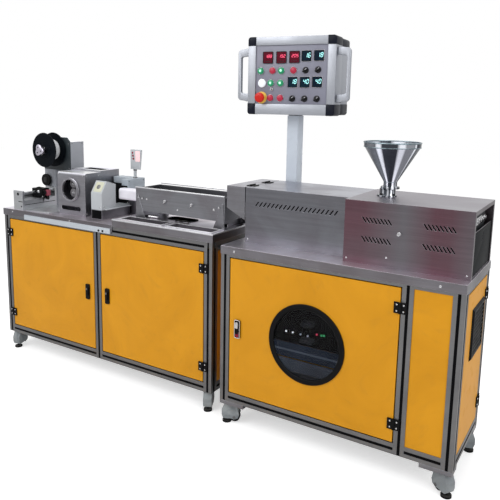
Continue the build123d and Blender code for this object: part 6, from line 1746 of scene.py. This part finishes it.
@dataclass
class TraverseDetails:
    """Rail lines, end block bores, guard and base plate of the traverse, and what its carriage bears."""

    def rail(self) -> None:
        """Build the marks on the rail and end block, the guard plate and the screwed base plate."""
        dark = Form()
        for z in (928, 875):
            dark.box(at(-1399.3, 62, z - 1.6), at(-1398.5, 280, z + 1.6))
        for x, z, radius in ((-1438, 936, 0.0085), (-1412, 866, 0.0045)):
            dark.lathe([(radius, 0.0004), (radius, -0.0005)], front_at(x, 50, z), 24)
        dark.box(at(-1436, 49.5, 892), at(-1399.6, 50.2, 896)).make("traverse_marks", SLOT_BLACK)
        guard = Form().box(at(-1483.5, 64, 846), at(-1480, 290, 936), 0.0008)
        guard.make("traverse_guard_plate", PALE_STEEL)
        plate = Form().box(at(-1398, 64, 845.6), at(-1204, 290, 848.6), 0.0008)
        plate.screws(0.004, 0.0022, (top_at(x, y, 848.6) for y in (74, 200) for x in (-1388, -1214)))
        plate.screws(0.0034, 0.002, (front_at(-1408, 50, z) for z in (858, 918)))
        plate.make("traverse_base_plate", PALE_STEEL)

    def carriage(self) -> None:
        """Build the carriage's wheel beads, bolts, sensor and rollers."""
        body, hub = "traverse_carriage", front_at(-1400, 162, 942)
        wheel = Form().bead(0.0268, -0.0012, 0.0011, hub, 40).bead(0.0268, -0.0088, 0.0011, hub, 40)
        wheel.bead(0.0155, 0.0002, 0.0012, hub, 32).make("carriage_wheel_beads", BLACK_GLOSS, body)
        cap = Form().lathe([(0.0052, 0.0055), (0.0078, 0.0035), (0.0095, 0.0008), (0.0095, -0.001)], hub, 28)
        cap.screws(0.0046, 0.0036, [front_at(-1384, 176, 912)]).screws(0.0048, 0.004, [right_at(-1391, 190, 912)])
        cap.pipe([at(-1391, 184, 884), at(-1380, 184, 884)], 0.0042, 14).make("carriage_bolts", POLISHED, body)
        Form().box(at(-1391.4, 204, 914), at(-1375, 229, 948), 0.002).make("carriage_sensor", PINK, body)
        arms = Form().lathe([(0.011, 0), (0.0118, -0.001), (0.0118, -0.012), (0.011, -0.013)],
                            right_at(-1378, 190, 936), 28)
        arms.lathe([(0.009, 0), (0.0098, -0.001), (0.0098, -0.014), (0.009, -0.015)], right_at(-1376, 212, 900), 24)
        arms.pipe([at(-1385, 190, 926), at(-1384, 187, 910), at(-1386, 184, 894), at(-1386, 184, 880)], 0.0045, 12)
        arms.make("carriage_rollers", BLACK_GLOSS, body)

    def build(self) -> None:
        """Build the rail's and the carriage's parts."""
        self.rail()
        self.carriage()


@dataclass
class Studio:
    """Camera, lamps, white surroundings and floor."""

    eye: tuple[float, float, float] = (1469.48, -2165.16, 1462.04)
    tilt: float = 1.4064115
    roll: float = 0.0185579
    turn: float = 0.549016
    lens: float = 43.517
    shift: float = -0.0897
    world_light: float = 0.6
    horizon_gloss: float = 0.85
    floor_white: float = 0.5
    floor_half: float = 14.0

    def camera(self) -> None:
        """Put the camera where the photograph was taken."""
        data = bpy.data.cameras.new("photo_camera")
        data.lens = self.lens
        data.sensor_width = 36.0
        data.shift_y = self.shift
        data.clip_start = 0.05
        data.clip_end = 60.0
        item = linked("photo_camera", data)
        turn = Matrix.Identity(4)
        for angle, axis in ((self.turn, "Z"), (self.tilt, "X"), (self.roll, "Z")):
            turn @= Matrix.Rotation(angle, 4, axis)
        item.matrix_world = Matrix.Translation(at(*self.eye)) @ turn
        bpy.context.scene.camera = item

    def lamp(self, name: str, place: Point, target: Point, size: float, watts: float) -> None:
        """Add a soft square lamp that looks at a point.

        Args:
            name: the lamp's name.
            place: where it hangs.
            target: the point that it looks at.
            size: its side length.
            watts: its power.
        """
        data = bpy.data.lights.new(name, "AREA")
        data.shape = "SQUARE"
        data.size = size
        data.energy = watts
        item = linked(name, data)
        item.location = place
        item.rotation_euler = (Vector(target) - Vector(place)).to_track_quat("-Z", "Y").to_euler()

    def world(self) -> None:
        """Set a world that shows white, lights evenly and shades from wall to ceiling in gloss."""
        world = bpy.data.worlds.new("white_studio")
        bpy.context.scene.world = world
        world.use_nodes = True
        graph = Graph(world.node_tree)
        background = world.node_tree.nodes["Background"].inputs
        graph.put((1.0, 1.0, 1.0), background["Color"])
        path = graph.add("LightPath").outputs
        gloss = graph.ramp(graph.axis(graph.place("Generated"), "Z"), -0.1, 0.8, self.horizon_gloss, 1.0)
        seen = graph.math("ADD", path["Is Camera Ray"], path["Is Transmission Ray"], clamp=True)
        plain = graph.ramp(seen, 0.0, 1.0, self.world_light, 1.0)
        shiny = graph.product(path["Is Glossy Ray"], graph.math("SUBTRACT", 1.0, seen))
        direct = graph.product(graph.math("SUBTRACT", 1.0, shiny), plain)
        graph.put(graph.math("ADD", graph.product(shiny, gloss), direct), background["Strength"])

    def floor(self) -> None:
        """Lay a pale floor that keeps the line's soft shadow."""
        mesh = bpy.data.meshes.new("studio_floor")
        mesh.from_pydata([(x, y, 0) for x, y in rectangle(2 * self.floor_half, 2 * self.floor_half)], [],
                         [(0, 1, 2, 3)])
        item = linked("studio_floor", mesh)
        material = bpy.data.materials.new("white_floor")
        material.use_nodes = True
        graph = Graph(material.node_tree)
        path = graph.add("LightPath").outputs
        seen = graph.math("ADD", path["Is Camera Ray"], path["Is Transmission Ray"], clamp=True)
        shader = material.node_tree.nodes["Principled BSDF"].inputs
        for name, value in {"Base Color": (0.86, 0.86, 0.86), "Roughness": 0.9, "Specular IOR Level": 0.0,
                            "Emission Color": (1.0, 1.0, 1.0),
                            "Emission Strength": graph.ramp(seen, 0.0, 1.0, 0.0, self.floor_white)}.items():
            graph.put(value, shader[name])
        mesh.materials.append(material)

    def build(self) -> None:
        """Build the whole studio."""
        bpy.context.scene.view_settings.view_transform = "Standard"
        self.camera()
        self.world()
        self.floor()
        self.lamp("key_lamp", (-1.2, -3.2, 3.4), (0.0, 0.0, 0.8), 2.6, 76.0)
        self.lamp("fill_lamp", (3.6, -1.6, 2.6), (0.4, 0.0, 0.8), 2.4, 44.0)
        self.lamp("top_lamp", (0.2, 0.8, 4.2), (0.2, 0.0, 0.8), 3.0, 56.0)


def dress_nodes() -> None:
    """Give each CAD node its finish."""
    dressed = {node: finish for finish, nodes in NODE_FINISHES.items() for node in nodes}
    for name, item in frame["nodes"].items():
        material = material_of(dressed.get(name, BLACK))
        for slot in item.material_slots:
            slot.material = material
        if not item.material_slots:
            item.data.materials.append(material)


def main() -> None:
    """Build the studio and dress the line."""
    logging.basicConfig(level=logging.INFO, format="%(name)s: %(message)s")
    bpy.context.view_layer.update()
    Studio().build()
    dress_nodes()
    for assembly in (BarFrames, DoorFittings, WindowInside, CasterDetails, CoverDetails, Hopper, ControlBox,
                     TroughDetails, MeasuringGear, PullerDetails, WinderDetails, TraverseDetails):
        assembly().build()


if __name__ == "__main__":
    main()
